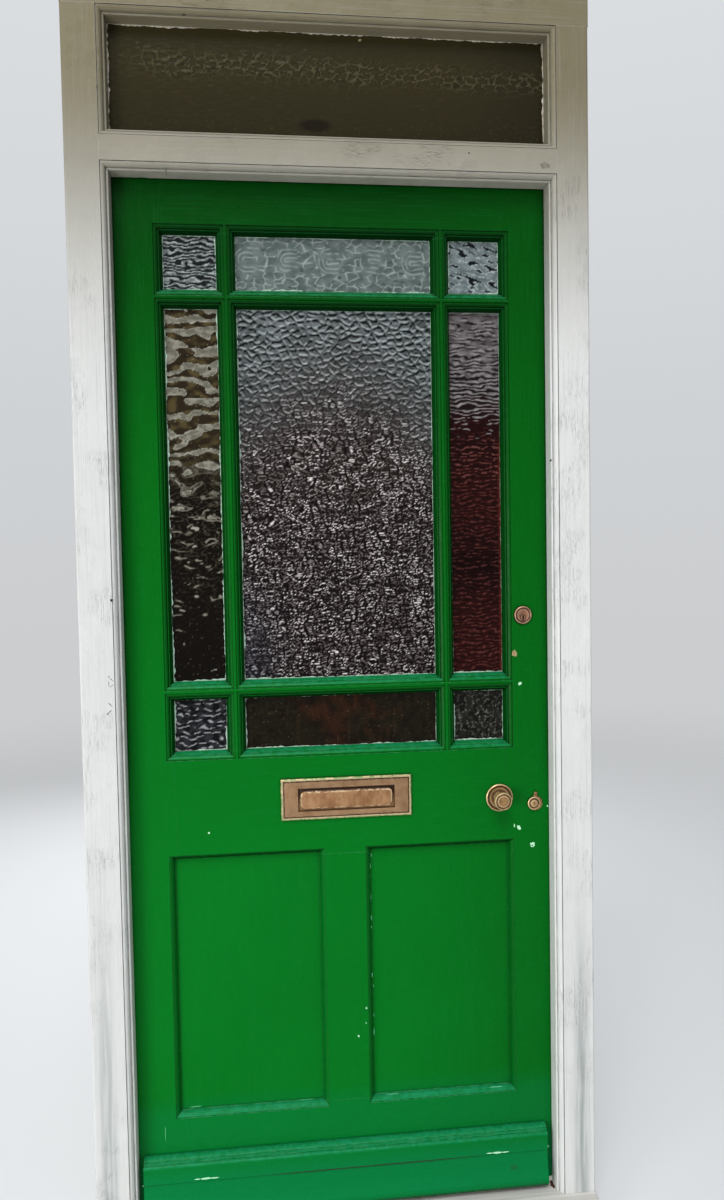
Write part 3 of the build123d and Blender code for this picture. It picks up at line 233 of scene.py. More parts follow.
class Shader(Nodes):
    """A surface material. Its colour starts as one tone and gets one coat after another."""

    def __init__(self, name):
        self.material = bpy.data.materials.new(name)
        self.material.use_nodes = True
        super().__init__(self.material.node_tree)
        self.surface = self.tree.nodes["Principled BSDF"]
        self.place = self.node("ShaderNodeTexCoord").outputs["Object"]
        parts = self.node("ShaderNodeSeparateXYZ", {0: self.place}).outputs
        self.across, self.up = parts["X"], parts["Z"]
        self.colour = None

    def finished(self, **inputs):
        """The material, with its colour and the surface's other inputs set."""
        for name, value in {"Base_Color": self.colour, **inputs}.items():
            self.feed(self.surface.inputs[name.replace("_", " ")], value)
        return self.material

    def times(self, product, *factors):
        for factor in factors:
            product = self.math("MULTIPLY", product, factor)
        return product

    def apart(self, a, b):
        """How far two values are from each other."""
        return self.math("ABSOLUTE", self.math("SUBTRACT", a, b))

    def noise(self, scale, detail=2.0, rough=0.5, warp=0.0):
        """Noise from 0 to 1. The scale is one number, or one for each axis."""
        scale = scale if isinstance(scale, tuple) else (scale,) * 3
        place = self.node("ShaderNodeMapping", {"Vector": self.place, "Scale": scale}).outputs[0]
        inputs = {"Vector": place, "Scale": 1.0, "Detail": detail, "Roughness": rough, "Distortion": warp}
        return self.node("ShaderNodeTexNoise", inputs).outputs["Fac"]

    def strokes(self, grain, across, along):
        """Brush marks that run along the grain, which is x or z."""
        return self.noise((across, across, along) if grain == "z" else (along, across, across), 3.0)

    def ramp(self, value, low, high, out_low=0.0, out_high=1.0):
        """Value taken from low..high to out_low..out_high, smoothly and no further."""
        inputs = {"Value": value, "From Min": low, "From Max": high, "To Min": out_low, "To Max": out_high}
        return self.node("ShaderNodeMapRange", inputs, interpolation_type="SMOOTHSTEP").outputs[0]

    def mix(self, share, a, b):
        made = self.node("ShaderNodeMix", {0: share}, data_type="RGBA")
        self.feed(made.inputs[6], a)
        self.feed(made.inputs[7], b)
        return made.outputs[2]

    def between(self, share, a, b):
        """A tone between two screen colours."""
        return self.mix(share, screen(a), screen(b))

    def coat(self, colour, *shares):
        """A screen colour laid over the colour so far, as far as the product of the shares goes."""
        self.colour = self.mix(self.times(*shares), self.colour, screen(colour))

    def inside(self, centre, half, corner=0.0):
        """How far inside a rectangle in the door's plane: 0 on its edge.

        With rounded corners it is no more than their radius.
        """
        away = []
        for place, middle, reach in ((self.across, centre[0], half[0]), (self.up, centre[1], half[1])):
            away.append(self.math("SUBTRACT", self.apart(place, middle), reach - corner))
        if corner:
            past = [self.math("MAXIMUM", part, 0.0) for part in away]
            squares = [self.times(part, part) for part in past]
            return self.math("SUBTRACT", corner, self.math("SQRT", self.math("ADD", *squares)))
        return self.times(self.math("MAXIMUM", *away), -1.0)

    def around(self, centre):
        """How far a point lies from an axis that stands out of the door, in metres."""
        aside = self.math("SUBTRACT", self.across, centre[0])
        above = self.math("SUBTRACT", self.up, centre[1])
        return self.math("SQRT", self.math("ADD", self.times(aside, aside), self.times(above, above)))

    def band(self, value, at, reach):
        """1 where value is at, 0 further from it than the reach."""
        return self.ramp(self.apart(value, at), reach, 0.0)

    def ragged(self, distance, noise, most):
        """A distance made uneven by noise, by up to half of most each way."""
        return self.math("ADD", distance, self.times(self.math("SUBTRACT", noise, 0.5), most))

    def rounded(self, radius):
        """The normal rounded over edges, and how far that turns it: 1 on an edge, 0 on a flat."""
        soft = self.node("ShaderNodeBevel", {"Radius": radius}, samples=4).outputs[0]
        flat = self.node("ShaderNodeNewGeometry").outputs["Normal"]
        turn = self.node("ShaderNodeVectorMath", {0: soft, 1: flat}, operation="DOT_PRODUCT")
        return soft, self.ramp(turn.outputs["Value"], 0.995, 0.88)

    def facing(self, normal, axis, low, high):
        """0 where the normal's part along an axis is low, 1 where it is high. Sideways takes both ways."""
        part = self.node("ShaderNodeSeparateXYZ", {0: normal}).outputs[axis]
        return self.ramp(self.math("ABSOLUTE", part) if axis == "X" else part, low, high)

    def crease(self, reach, tight=0.45, open_from=0.85):
        """1 in a corner or groove narrower than the reach, 0 in the open."""
        made = self.node("ShaderNodeAmbientOcclusion", {"Distance": reach}, samples=6)
        return self.ramp(made.outputs["AO"], open_from, tight)

    def bump(self, *layers, over=None):
        """Bump layers of (height, distance in metres), one over the other."""
        normal = over
        for height, distance in layers:
            made = self.node("ShaderNodeBump", {"Height": height, "Distance": distance})
            if normal is not None:
                self.feed(made.inputs["Normal"], normal)
            normal = made.outputs[0]
        self.feed(self.surface.inputs["Normal"], normal)


def to_linear(colour):
    """Screen colours, 0 to 255, as linear ones."""
    share = np.clip(colour, 0, 255) / 255
    return np.where(share <= 0.04045, share / 12.92, ((share + 0.055) / 1.055) ** 2.4)


def screen(colour):
    """One screen colour as a node takes it."""
    return tuple(to_linear(colour).tolist())


def green_paint(name, grain):
    """Gloss green brushed along the grain.

    It is painted darker up the leaf and to the right as shade, darker on sideways and downward faces as
    painted shade, with a painted sky reflection where it faces up, painted highlights on its arrises, and
    painted shade in the quirks and beside the stops.
    """
    s = Shader(name)
    soft, edge = s.rounded(0.001)
    s.colour = s.between(s.noise(3, 3), (0, 106, 24), (1, 118, 32))
    # Painted shade: the green darkens up the leaf and towards the right.
    s.coat((3, 98, 19), s.ramp(s.up, *LEAF_MIDDLE_SHADE))
    s.coat((2, 62, 8), s.ramp(s.up, *LEAF_TOP_SHADE))
    s.coat((2, 84, 11), s.ramp(s.across, *LEAF_RIGHT_SHADE, 0.0, 0.45))
    brushed = s.strokes(grain, 420, 9)
    s.coat((20, 128, 60), s.ramp(brushed, 0.45, 0.75, 0.0, 0.12))
    # Paler arrises: thin worn paint with a painted highlight.
    s.coat((50, 148, 80), edge, s.ramp(s.noise(50, 3), 0.3, 0.6, 0.35, 1.0), 0.75)
    # A bluer, lighter green low on the leaf, most at the very bottom.
    s.coat((4, 122, 64), s.ramp(s.up, *BLUER_LOW_RAIL), s.ramp(s.up, *BLUER_LOW_BOARD, 0.35, 0.8))
    # Painted shade on sideways and downward faces, weaker below the panels' tops.
    shade = s.ramp(s.up, *OVER_PANELS, 0.38, 1.0)
    s.coat((3, 46, 12), s.facing(soft, "X", 0.15, 0.8), shade, 0.82)
    s.coat((1, 30, 6), s.facing(soft, "Z", -0.15, -0.8), 0.9)
    # Painted reflection of the sky on upward faces, in patches.
    patchy_sky_sheen = s.ramp(s.noise(110, 3), 0.35, 0.65, 0.35, 0.8)
    s.coat((30, 142, 94), s.facing(soft, "Z", 0.12, 0.75), patchy_sky_sheen)
    # Painted highlight on upward arrises.
    lit = s.times(edge, s.facing(soft, "Z", 0.1, 0.4), s.ramp(s.noise(70, 3), 0.4, 0.58))
    s.coat((104, 190, 136), lit, 0.75)
    # Painted shadow of the stops beside them, and painted shade in the quirks.
    s.coat((1, 46, 6), s.crease(0.024, 0.4, 0.95), shade, 0.62)
    s.coat((1, 18, 4), s.crease(0.005, 0.5, 0.92), shade)
    gloss = s.ramp(s.noise(40), 0.3, 0.7, 0.22, 0.34)
    s.bump((s.noise(7, 1), 0.003), (s.noise(90), 0.0004), (brushed, 0.00022), over=soft)
    return s.finished(Roughness=gloss, Specular_IOR_Level=0.055)


def white_paint(name, grain):
    """Thick off-white gloss, browner towards the head with dirt and painted shade, with brush marks, fine
    cracks, painted shade on the reveals and in the creases, and painted highlights on the arrises.
    """
    s = Shader(name)
    soft, edge = s.rounded(0.0008)
    tone = s.noise((6, 6, 2.5), 4)
    left = s.between(tone, (202, 203, 202), (217, 217, 214))
    right = s.between(tone, (216, 217, 216), (231, 231, 228))
    # The head's brown is dirt with painted shade under the porch.
    head = s.between(tone, (116, 108, 84), (134, 126, 102))
    posts = s.mix(s.ramp(s.across, *FRAME_WIDTH), left, right)
    s.colour = s.mix(s.ramp(s.up, *FRAME_TOP_DIRT_AND_SHADE), posts, head)
    brushed = s.strokes(grain, 330, 6)
    s.coat((160, 160, 158), s.ramp(brushed, 0.5, 0.8, 0.0, 0.3))
    along = (30, 30, 420) if grain == "x" else (420, 30, 14)
    crack = s.band(s.noise(along, 3, 0.6), 0.5, 0.012)
    crack = s.times(crack, s.ramp(s.noise(12), 0.52, 0.64))
    s.coat((96, 92, 84), crack, 0.4)
    foot = s.times(s.band(s.math("ABSOLUTE", s.across), *GREY_BAND), s.ramp(s.up, *POST_FEET))
    foot = s.times(foot, s.ramp(s.noise((160, 160, 7), 3), 0.3, 0.6, 0.3, 0.8))
    s.coat((150, 158, 156), foot)
    # Painted shade on sideways-facing reveals, stronger towards the head.
    s.coat((112, 112, 94), s.facing(soft, "X", 0.6, 0.95), s.ramp(s.up, *REVEAL_TOP_SHADE, 0.05, 0.34))
    # Painted highlight on the rounded arrises.
    s.coat((238, 240, 238), edge, 0.45)
    # Painted shade with some dirt in the creases, in patches.
    s.coat((58, 56, 50), s.crease(0.003), s.ramp(s.noise(25, 3), 0.25, 0.6, 0.22, 0.6))
    s.bump((s.noise(14), 0.004), (s.noise(110), 0.0006), (brushed, 0.0003),
           (s.math("SUBTRACT", 1.0, crack), 0.0003), over=soft)
    return s.finished(Roughness=0.4, Specular_IOR_Level=0.12)


def worn_sill(name):
    """Thick off-white paint over the sill's timber, a little greyer along the grain, with fine checks."""
    s = Shader(name)
    soft, edge = s.rounded(0.002)
    grain = s.noise((3, 160, 160), 5, 0.6, 0.3)
    s.colour = s.between(s.ramp(grain, 0.3, 0.7), (196, 193, 188), (222, 219, 214))
    check = s.ramp(s.noise((2, 90, 90), 3, 0.6), 0.33, 0.28)
    s.coat((120, 112, 102), check, 0.5)
    s.coat((134, 116, 92), edge, s.ramp(s.noise(40, 3), 0.5, 0.65))
    s.bump((grain, 0.0006), (s.math("SUBTRACT", 1.0, check), 0.0006), over=soft)
    return s.finished(Roughness=0.6, Specular_IOR_Level=0.15)


def old_glass(name):
    """Obscured glass: its colours, painted reflections of the daylight and a painted view of the room behind,
    come with the mesh.
    """
    s = Shader(name)
    s.colour = s.node("ShaderNodeAttribute", attribute_name="painted_view").outputs["Color"]
    dust = s.ramp(s.noise(240, 3), 0.35, 0.75, 0.12, 0.24)
    s.bump((s.noise(700), 0.00006))
    return s.finished(Roughness=dust, Specular_IOR_Level=0.08)


def old_brass(name, tones, centre=None, rings=(), grooves=(), metal=0.45):
    """Cloudy brass, worn bright with painted highlights on its edges and on rings, black in its corners and
    grooves, some of which are painted shadow.

    A ring or groove is its radius, its reach to both sides, both in mm, and its share.
    """
    s = Shader(name)
    soft, edge = s.rounded(0.001)
    clean, tarnish, worn = tones
    cloud = s.noise(70, 4, 0.6, 0.5)
    s.colour = s.between(s.ramp(cloud, 0.35, 0.68), clean, tarnish)
    s.coat(BRASS_BLACK, s.ramp(s.noise(520), 0.62, 0.72), 0.5)
    # Worn edges with a painted highlight.
    s.coat(worn, edge, s.ramp(s.noise(330, 3), 0.36, 0.56, 0.0, 0.9))
    radius = s.around(centre) if centre else 0.0
    for marks, tone in ((rings, worn), (grooves, BRASS_BLACK)):
        for at, reach, share in marks:
            s.coat(tone, s.band(radius, at / 1000, reach / 1000), share)
    s.coat(BRASS_BLACK, s.crease(0.0032, 0.5, 0.92))
    s.bump((cloud, 0.0003), (s.noise(420), 0.00012), over=soft)
    return s.finished(Metallic=metal, Roughness=s.ramp(cloud, 0.3, 0.7, 0.3, 0.46))


def plate_brass(name):
    """The letter plate: a pale rim with green paint left on it, and a dark line inside the rim."""
    s = Shader(name)
    low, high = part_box("letter_plate")
    half = (high - low) / 2
    cloud = s.noise(60, 4, 0.6)
    s.colour = s.between(s.ramp(cloud, 0.3, 0.7), (162, 128, 94), (140, 104, 72))
    inside = s.inside(middle_of("letter_plate"), (half.x, half.z))
    ragged = s.ragged(inside, s.noise(260, 3), 0.004)
    s.coat((70, 40, 24), s.ramp(ragged, PLATE_RIM + PLATE_LINE, PLATE_RIM + 0.7 * PLATE_LINE))
    s.coat((204, 186, 142), s.ramp(ragged, PLATE_RIM + 0.0003, PLATE_RIM - 0.0005))
    left = s.times(s.ramp(ragged, 0.0034, 0.0016), s.ramp(s.noise(150, 3), 0.42, 0.56))
    s.coat((96, 142, 74), left, 0.85)
    s.coat((34, 18, 10), s.crease(0.005, 0.35, 0.9))
    s.bump((cloud, 0.0003), (s.noise(420), 0.00012), over=s.rounded(0.0008)[0])
    return s.finished(Metallic=0.4, Roughness=s.ramp(cloud, 0.3, 0.7, 0.32, 0.46))


def flap_brass(name):
    """The flap: a cushion with worn, broken bright edges, streaked by hands, with a painted shadow outside
    it, darkest above.
    """
    s = Shader(name)
    across, up = middle_of("letter_flap")
    up -= CUSHION_DROP
    streak = s.noise((70, 70, 40), 4, 0.65)
    s.colour = s.between(s.ramp(streak, 0.32, 0.68), (182, 138, 98), (142, 98, 62))
    ragged = s.ragged(s.inside((across, up), CUSHION_HALF, CUSHION_CORNER), s.noise(230, 4, 0.6), 0.006)
    worn = s.times(s.ramp(ragged, 0.0042, 0.0018), s.ramp(s.noise(160, 3), 0.4, 0.54))
    s.coat((232, 206, 164), worn, 0.85)
    # Painted shadow round the cushion, dark above it and pale below; the cushion is set CUSHION_DROP lower so
    # that the shadow shows along its top.
    height = s.math("SUBTRACT", s.up, up)
    outside = s.between(s.ramp(height, -0.012, 0.012), (150, 112, 76), (62, 36, 20))
    s.colour = s.mix(s.ramp(ragged, 0.0006, -0.0006), s.colour, outside)
    s.coat((44, 26, 14), s.crease(0.0028, 0.35, 0.9), 0.8)
    s.bump((ragged, 0.0004), (streak, 0.0005), (s.noise(420), 0.00015), over=s.rounded(0.0008)[0])
    return s.finished(Metallic=0.4, Roughness=s.ramp(streak, 0.3, 0.7, 0.32, 0.46))


def plug_brass(name):
    """The cylinder's plug, with painted shade round its face and in its black keyway."""
    s = Shader(name)
    centre = middle_of("cylinder_plug")
    cloud = s.noise(120, 3)
    s.colour = s.between(cloud, (168, 122, 92), (132, 90, 64))
    # Painted shade round the face and in the keyway.
    s.coat((40, 24, 16), s.ramp(s.around(centre), *PLUG_FACE))
    s.coat((16, 10, 8), s.ramp(s.inside(centre, KEYWAY_HALF), -0.0003, 0.0003))
    s.bump((cloud, 0.0002), over=s.rounded(0.0006)[0])
    return s.finished(Metallic=0.45, Roughness=0.4)


def dull_metal(name, colour, spot, metal=1.0):
    """Steel or painted iron, with darker spots."""
    s = Shader(name)
    cloud = s.noise(90, 4, 0.6)
    s.colour = s.between(s.ramp(cloud, 0.5, 0.7), colour, spot)
    s.bump((cloud, 0.0002), over=s.rounded(0.0006)[0])
    return s.finished(Metallic=metal, Roughness=s.ramp(cloud, 0.3, 0.7, 0.32, 0.55))


def flake(name, light, dark, rough=0.75):
    """Bare timber, undercoat, dirt or rust where the paint has gone, paint where it doesn't belong, and a
    dark strip of painted shadow.
    """
    s = Shader(name)
    grain = s.noise((600, 600, 120), 3)
    s.colour = s.between(s.ramp(grain, 0.3, 0.7), dark, light)
    s.bump((grain, 0.0002))
    return s.finished(Roughness=rough, Specular_IOR_Level=0.2)


def paint(nodes, material):
    for name in nodes.split():
        slots = frame["nodes"][name].data.materials
        slots.clear()
        slots.append(material)


def new_piece(name, mesh, material, body):
    mesh.materials.clear()
    mesh.materials.append(material)
    piece = add_object(name, mesh)
    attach(piece, body)
    return piece


def body_name(node):
    return body_of(frame["nodes"][node])[0]


def middle_of(node):
    """The middle of a node's box in the door's plane, across and up."""
    low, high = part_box(node)
    return (low.x + high.x) / 2, (low.z + high.z) / 2


def softened(node, material, width):
    """A copy of a CAD node with rounded arrises and smooth turned faces, which stands for the node."""
    work = bmesh.new()
    work.from_mesh(frame["nodes"][node].data)
    bmesh.ops.remove_doubles(work, verts=work.verts, dist=1e-6)
    bmesh.ops.dissolve_limit(work, angle_limit=FLAT_ANGLE, verts=work.verts, edges=work.edges)
    arrises = [e for e in work.edges if len(e.link_faces) == 2 and e.calc_face_angle(0) > ARRIS_ANGLE]
    bmesh.ops.bevel(work, geom=arrises, offset=width, offset_type="OFFSET", segments=2, profile=0.5,
                    affect="EDGES", clamp_overlap=True)
    for face in work.faces:
        face.smooth = True
    for edge in work.edges:
        edge.smooth = len(edge.link_faces) == 2 and edge.calc_face_angle(0) < SHARP_ANGLE
    mesh = bpy.data.meshes.new(node + "_finished")
    work.to_mesh(mesh)
    work.free()
    piece = new_piece(node + "_finished", mesh, material, body_name(node))
    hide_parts(node)


def grid_faces(numbers):
    """Quads over a grid of vertex numbers, facing outside."""
    corners = numbers[:-1, :-1], numbers[:-1, 1:], numbers[1:, 1:], numbers[1:, :-1]
    return np.stack(corners, axis=-1).reshape(-1, 4)


def slab_mesh(name, front, back):
    """A slab from two grids of points, with flat edges. The front's is close, and shaded smooth."""
    ahead = np.arange(front[..., 0].size).reshape(front.shape[:2])
    behind = ahead.size + np.arange(back[..., 0].size).reshape(back.shape[:2])
    quads = grid_faces(ahead).tolist()
    faces = quads + grid_faces(behind)[:, ::-1].tolist()
    edges = ((ahead[0, ::-1], behind[0]), (ahead[-1], behind[-1, ::-1]),
             (ahead[:, 0], behind[::-1, 0]), (ahead[::-1, -1], behind[:, -1]))
    faces += [np.concatenate(edge).tolist() for edge in edges]
    mesh = bpy.data.meshes.new(name)
    mesh.from_pydata(np.concatenate((front.reshape(-1, 3), back.reshape(-1, 3))).tolist(), [], faces)
    smooth = np.zeros(len(mesh.polygons), bool)
    smooth[:len(quads)] = True
    mesh.polygons.foreach_set("use_smooth", smooth)
    return mesh


def tint_mesh(mesh, colours):
    """Give each vertex its screen colour."""
    tints = np.concatenate((to_linear(colours), np.ones((len(colours), 1))), axis=1)
    painted_view = mesh.color_attributes.new(name="painted_view", type="FLOAT_COLOR", domain="POINT")
    painted_view.data.foreach_set("color", tints.astype(np.float32).reshape(-1))


def make_pane(node, look, lap, grid_step, material):
    """Patterned glass in place of a plain slab: the pattern is pressed into the outer face, and its painted
    reflections and view of the room behind go on the vertices.
    """
    low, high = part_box(node)
    columns, rows = (BACK_STEPS * round((high - low)[i] / grid_step / BACK_STEPS) for i in (0, 2))
    x, z = np.meshgrid(np.linspace(low.x, high.x, columns + 1), np.linspace(low.z, high.z, rows + 1))
    across, up = (x - low.x - lap) * 1000, (z - low.z - lap) * 1000
    wide, tall = ((high - low)[i] * 1000 - 2000 * lap for i in (0, 2))
    height, colour = look(across, up, np.clip(across / wide, 0, 1), np.clip(1 - up / tall, 0, 1))
    height = (height - height.min()) / (height.max() - height.min())
    border = np.minimum.reduce((x - low.x, high.x - x, z - low.z, high.z - z))
    depth = PANE_RELIEF * (1 - height) * step(border, 0.3 * FLAT_EDGE, FLAT_EDGE)
    front = np.stack((x, low.y + depth, z), axis=-1)
    sparse = np.s_[::BACK_STEPS, ::BACK_STEPS]
    back = np.stack((x[sparse], np.full(x[sparse].shape, high.y), z[sparse]), axis=-1)
    mesh = slab_mesh(node + "_glass", front, back)
    tint_mesh(mesh, np.concatenate((colour.reshape(-1, 3), colour[sparse].reshape(-1, 3))))
    piece = new_piece(node + "_glass", mesh, material, body_name(node))
    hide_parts(node)


def strip_widths(along, reach, side, seed):
    """How wide a ragged strip is at places along it, which are in mm."""
    rough = waves(along / 7, np.full(along.shape, 0.37 + side), seed)
    slow = waves(along / 60, np.full(along.shape, 0.61 + side), seed + 1)
    return reach * np.clip(0.35 + 0.5 * rough + 0.5 * slow, 0.05, 1.2)


def strip_faces(first, count):
    """The faces of a strip that has four vertices at each place along it, with its two ends."""
    last = first + 4 * count
    faces = [(a + k, a + 4 + k, a + 4 + (k + 1) % 4, a + (k + 1) % 4)
             for a in range(first, last, 4) for k in range(4)]
    return faces + [(first, first + 1, first + 2, first + 3), (last + 3, last + 2, last + 1, last)]


def ragged_edge(node, lap, reaches, material, seed):
    """Paint that has crept on to the glass: a thin ragged strip along each of its four sides."""
    low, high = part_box(node)
    x0, x1, z0, z1 = low.x + lap, high.x - lap, low.z + lap, high.z - lap
    corners = np.array(((x0, z0), (x1, z0), (x1, z1), (x0, z1)))
    vertices, faces = [], []
    for side, inward in enumerate(np.array(((0, 1), (-1, 0), (0, -1), (1, 0)))):
        start, end = corners[side], corners[(side + 1) % 4]
        length = np.linalg.norm(end - start)
        count = max(int(length / PAINT_STEP), 2)
        shares = np.linspace(0, 1, count + 1)
        faces += strip_faces(len(vertices), count)
        for share, wide in zip(shares, strip_widths(shares * length * 1000, reaches[side], side, seed)):
            edge = start + (end - start) * share
            insets = -PAINT_UNDER, -PAINT_UNDER, 0.6 * wide, wide
            for inset, lift in zip(insets, (0, PAINT_THICK, PAINT_THICK, 0)):
                point = edge + inward * inset
                vertices.append((point[0], low.y + PAINT_SINK - lift, point[1]))
    mesh = bpy.data.meshes.new(node + "_paint_edge")
    mesh.from_pydata(vertices, [], faces)
    piece = new_piece(node + "_paint_edge", mesh, material, body_name(node))


def seat(pixel):
    """Where the photograph's pixel falls on the CAD nodes: the place, the face's normal and the node."""
    toward = on_plane(pixel, 0.0) - CAMERA_PLACE
    depsgraph = bpy.context.evaluated_depsgraph_get()
    hit, place, normal, _, node, _ = bpy.context.scene.ray_cast(depsgraph, CAMERA_PLACE, toward.normalized())
    if not hit:
        raise ValueError(f"nothing of the door is at pixel {pixel}")
    return place, normal, node


def mark_axes(normal, angle):
    """The ways across and up on a face, turned against the clock by an angle in degrees."""
    along = Vector((1, 0, 0)) - normal * normal.x
    if along.length < 0.3:
        along = Vector((0, 0, 1)) - normal * normal.z
    along = Matrix.Rotation(math.radians(angle), 3, normal) @ along.normalized()
    upward = along.cross(normal).normalized()
    return along, -upward if upward.z < 0 else upward


def add_mark(name, material, seed, x, y, wide, tall, angle=0):
    """A thin ragged chip on whatever the photo's pixel x, y shows, with its size in photo pixels too."""
    place, normal, node = seat((x, y))
    along, upward = mark_axes(normal, angle)
    per_pixel = (place - CAMERA_PLACE).length / (LENS_MM / SENSOR_MM * PHOTO_SIZE[1])
    rim = []
    for i in range(MARK_CORNERS):
        turn = 2 * math.pi * i / MARK_CORNERS
        wobble = (0.75 + 0.5 * float(lattice(np.int64(i), np.int64(seed), 5))) * per_pixel / 2
        rim.append((along * wide * math.cos(turn) + upward * tall * math.sin(turn)) * wobble)
    work = bmesh.new()
    outer = [work.verts.new(place + point - normal * MARK_SINK) for point in rim]
    inner = [work.verts.new(place + point * MARK_TOP + normal * MARK_THICK) for point in rim]
    work.faces.new(inner)
    work.faces.new(outer[::-1])
    for i in range(MARK_CORNERS):
        j = (i + 1) % MARK_CORNERS
        work.faces.new((outer[i], outer[j], inner[j], inner[i]))
    bmesh.ops.recalc_face_normals(work, faces=work.faces)
    mesh = bpy.data.meshes.new(name)
    work.to_mesh(mesh)
    work.free()
    new_piece(name, mesh, material, body_of(node)[0])


# Each mark's name, kind and places, which get a letter each where there are more. A place is a photo pixel,
# a size across and up in photo pixels, and a turn in degrees.
MARKS = (
    ("chip_stile_tan", "timber", (514.6, 653.4, 5.4, 6.6, 20)),
    ("chip_stile_light", "mint", (520, 683.6, 4, 2.8, 25)),
    ("chip_by_cover", "mint", (518.8, 827.4, 3.6, 5, 30)),
    ("chip_by_cover_small", "mint", (514.4, 825.6, 1.4, 3.4)),
    ("chip_below_cover", "mint", (532.6, 844.6, 4.6, 5.2)),
    ("chip_below_cover_hole", "green", (532.2, 845.4, 1.6, 1.8)),
    ("chip_leaf_edge", "mint", (547.4, 806, 1.3, 1.8)),
    ("chip_muntin", "mint", (366.4, 1008, 1.5, 2), (366.2, 1023, 1, 1.2), (358.8, 1036, 1.6, 2.2, 20)),
    ("dash_weatherboard_left", "mint", (197.6, 1179.2, 6, 0.9), (206, 1178.5, 8, 1.7), (214.6, 1177.8, 8, 1)),
    ("dash_weatherboard_right", "mint", (489.6, 1153.2, 6, 0.9), (497.4, 1152.6, 9, 1.5),
     (505.4, 1152, 6, 1)),
    ("chip_weatherboard_end", "mint", (548, 1146.2, 1.8, 2)),
    ("chip_kick_left", "mint", (143.5, 1186.2, 1.8, 2)),
    ("dot_left_stop", "grime_and_shadow", (139.5, 1158.9, 2.7, 3.1)),
    ("scratch_bottom_rail", "rubbed", (165.5, 1134, 0.6, 14)),
    # Painted shadow: a dark strip where the weatherboard's lower edge shades the kick board at their seam.
    ("shadow_at_weatherboard_seam", "grime_and_shadow", (368, 1166, 190, 0.9)),
    ("dent_kick", "bruise", (514, 1168, 7, 5)),
    ("nick_right_stop", "grime_and_shadow", (550.5, 460.5, 2, 5.8)),
    ("rust_right_post", "rust", (553, 1184, 5.1, 10.2)),
    ("flake_right_post", "undercoat", (551, 1178.5, 5.8, 5.8)),
    ("nail_fan_stop", "grime_and_shadow", (184, 15, 2.7, 2.7)),
    ("nail_left_stop", "grime_and_shadow", (97, 87, 3.1, 3.1)),
    ("dot_left_post", "grime_and_shadow", (111.4, 600.3, 2.6, 2.8)),
    ("flake_post_a_dot", "grime_and_shadow", (108.9, 676.8, 1.3, 1.3)),
    ("flake_post_a_top", "cracked", (111.4, 679.6, 5.6, 0.7, -40)),
    ("flake_post_a_low", "cracked", (112, 685.6, 5, 0.7, 38)),
    ("flake_post_a_side", "cracked", (108.8, 684, 0.7, 6)),
    ("flake_post_b_top", "cracked", (110.2, 704.6, 5.4, 0.8, -45)),
    ("flake_post_b_low", "cracked", (109.6, 712, 5.8, 0.9, 40)),
    ("flake_post_b_dot", "grime_and_shadow", (107.8, 714.2, 1.6, 1.2)),
    ("dot_leaf", "mint", (209, 833, 2, 2)),
    ("fan_dot", "grime_and_shadow", (333, 98, 1.8, 1.8)),
    ("fan_chip", "timber", (360, 40, 2.6, 2.2, 15)),
    ("nail_transom", "grime_and_shadow", (469, 153, 1.6, 1.6)),
    ("scuff_transom", "cracked", (545, 165.4, 9, 6)),
    ("crack_head_stop", "cracked", (166, 171.5, 0.8, 12)),
    ("green_rag", "green", (127, 177.4, 12, 1.2), (143, 177.8, 9, 1.6)),
    ("line_left_panel", "rubbed", (196, 1106.6, 12, 0.8), (306, 1099.6, 14, 0.7)),
    ("line_right_panel", "rubbed", (392, 1094, 12, 0.8), (496, 1086.8, 12, 0.9)),
    ("fleck_panel", "rubbed", (371.2, 855, 0.9, 4), (370.2, 866, 1, 5), (369.9, 876, 1, 3),
     (370.8, 897, 0.9, 5), (371.6, 918, 1, 4.5), (371.5, 927, 0.8, 2.6), (372.3, 975, 1, 4.5),
     (373.4, 986, 0.8, 3), (373.8, 1015, 1, 3), (374, 1031, 0.9, 7)),
)


def add_marks():
    kinds = {
        "timber": flake("bare_timber", (184, 164, 122), (128, 108, 72)),
        "undercoat": flake("undercoat", (240, 246, 238), (214, 222, 212)),
        "mint": flake("pale_mint", (214, 255, 222), (170, 236, 190)),
        "grime_and_shadow": flake("grime_and_shadow", (52, 48, 42), (26, 24, 20)),
        "rust": flake("rust", (96, 58, 34), (34, 24, 20)),
        "green": flake("green_rag", (8, 96, 30), (4, 70, 20), 0.4),
        "rubbed": flake("rubbed_green", (112, 206, 150), (60, 160, 104), 0.5),
        "bruise": flake("bruised_green", (4, 104, 50), (2, 92, 42), 0.4),
        "cracked": flake("cracked_paint", (150, 146, 134), (92, 86, 74)),
    }
    bpy.context.view_layer.update()
    seed = 0
    for name, kind, *places in MARKS:
        for letter, place in zip(ascii_lowercase, places):
            add_mark(f"{name}_{letter}" if len(places) > 1 else name, kinds[kind], seed, *place)
            seed += 1


def lattice(ix, iz, seed):
    """A number from 0 to 1 for each lattice point, always the same for one seed."""
    n = (ix * 374761393 + iz * 668265263 + seed * 1274126177) & 0xFFFFFFFF
    n = ((n ^ (n >> 13)) * 1103515245) & 0xFFFFFFFF
    n = ((n ^ (n >> 16)) * 1376312589) & 0xFFFFFFFF
    return ((n >> 8) & 0xFFFF) / 65536.0


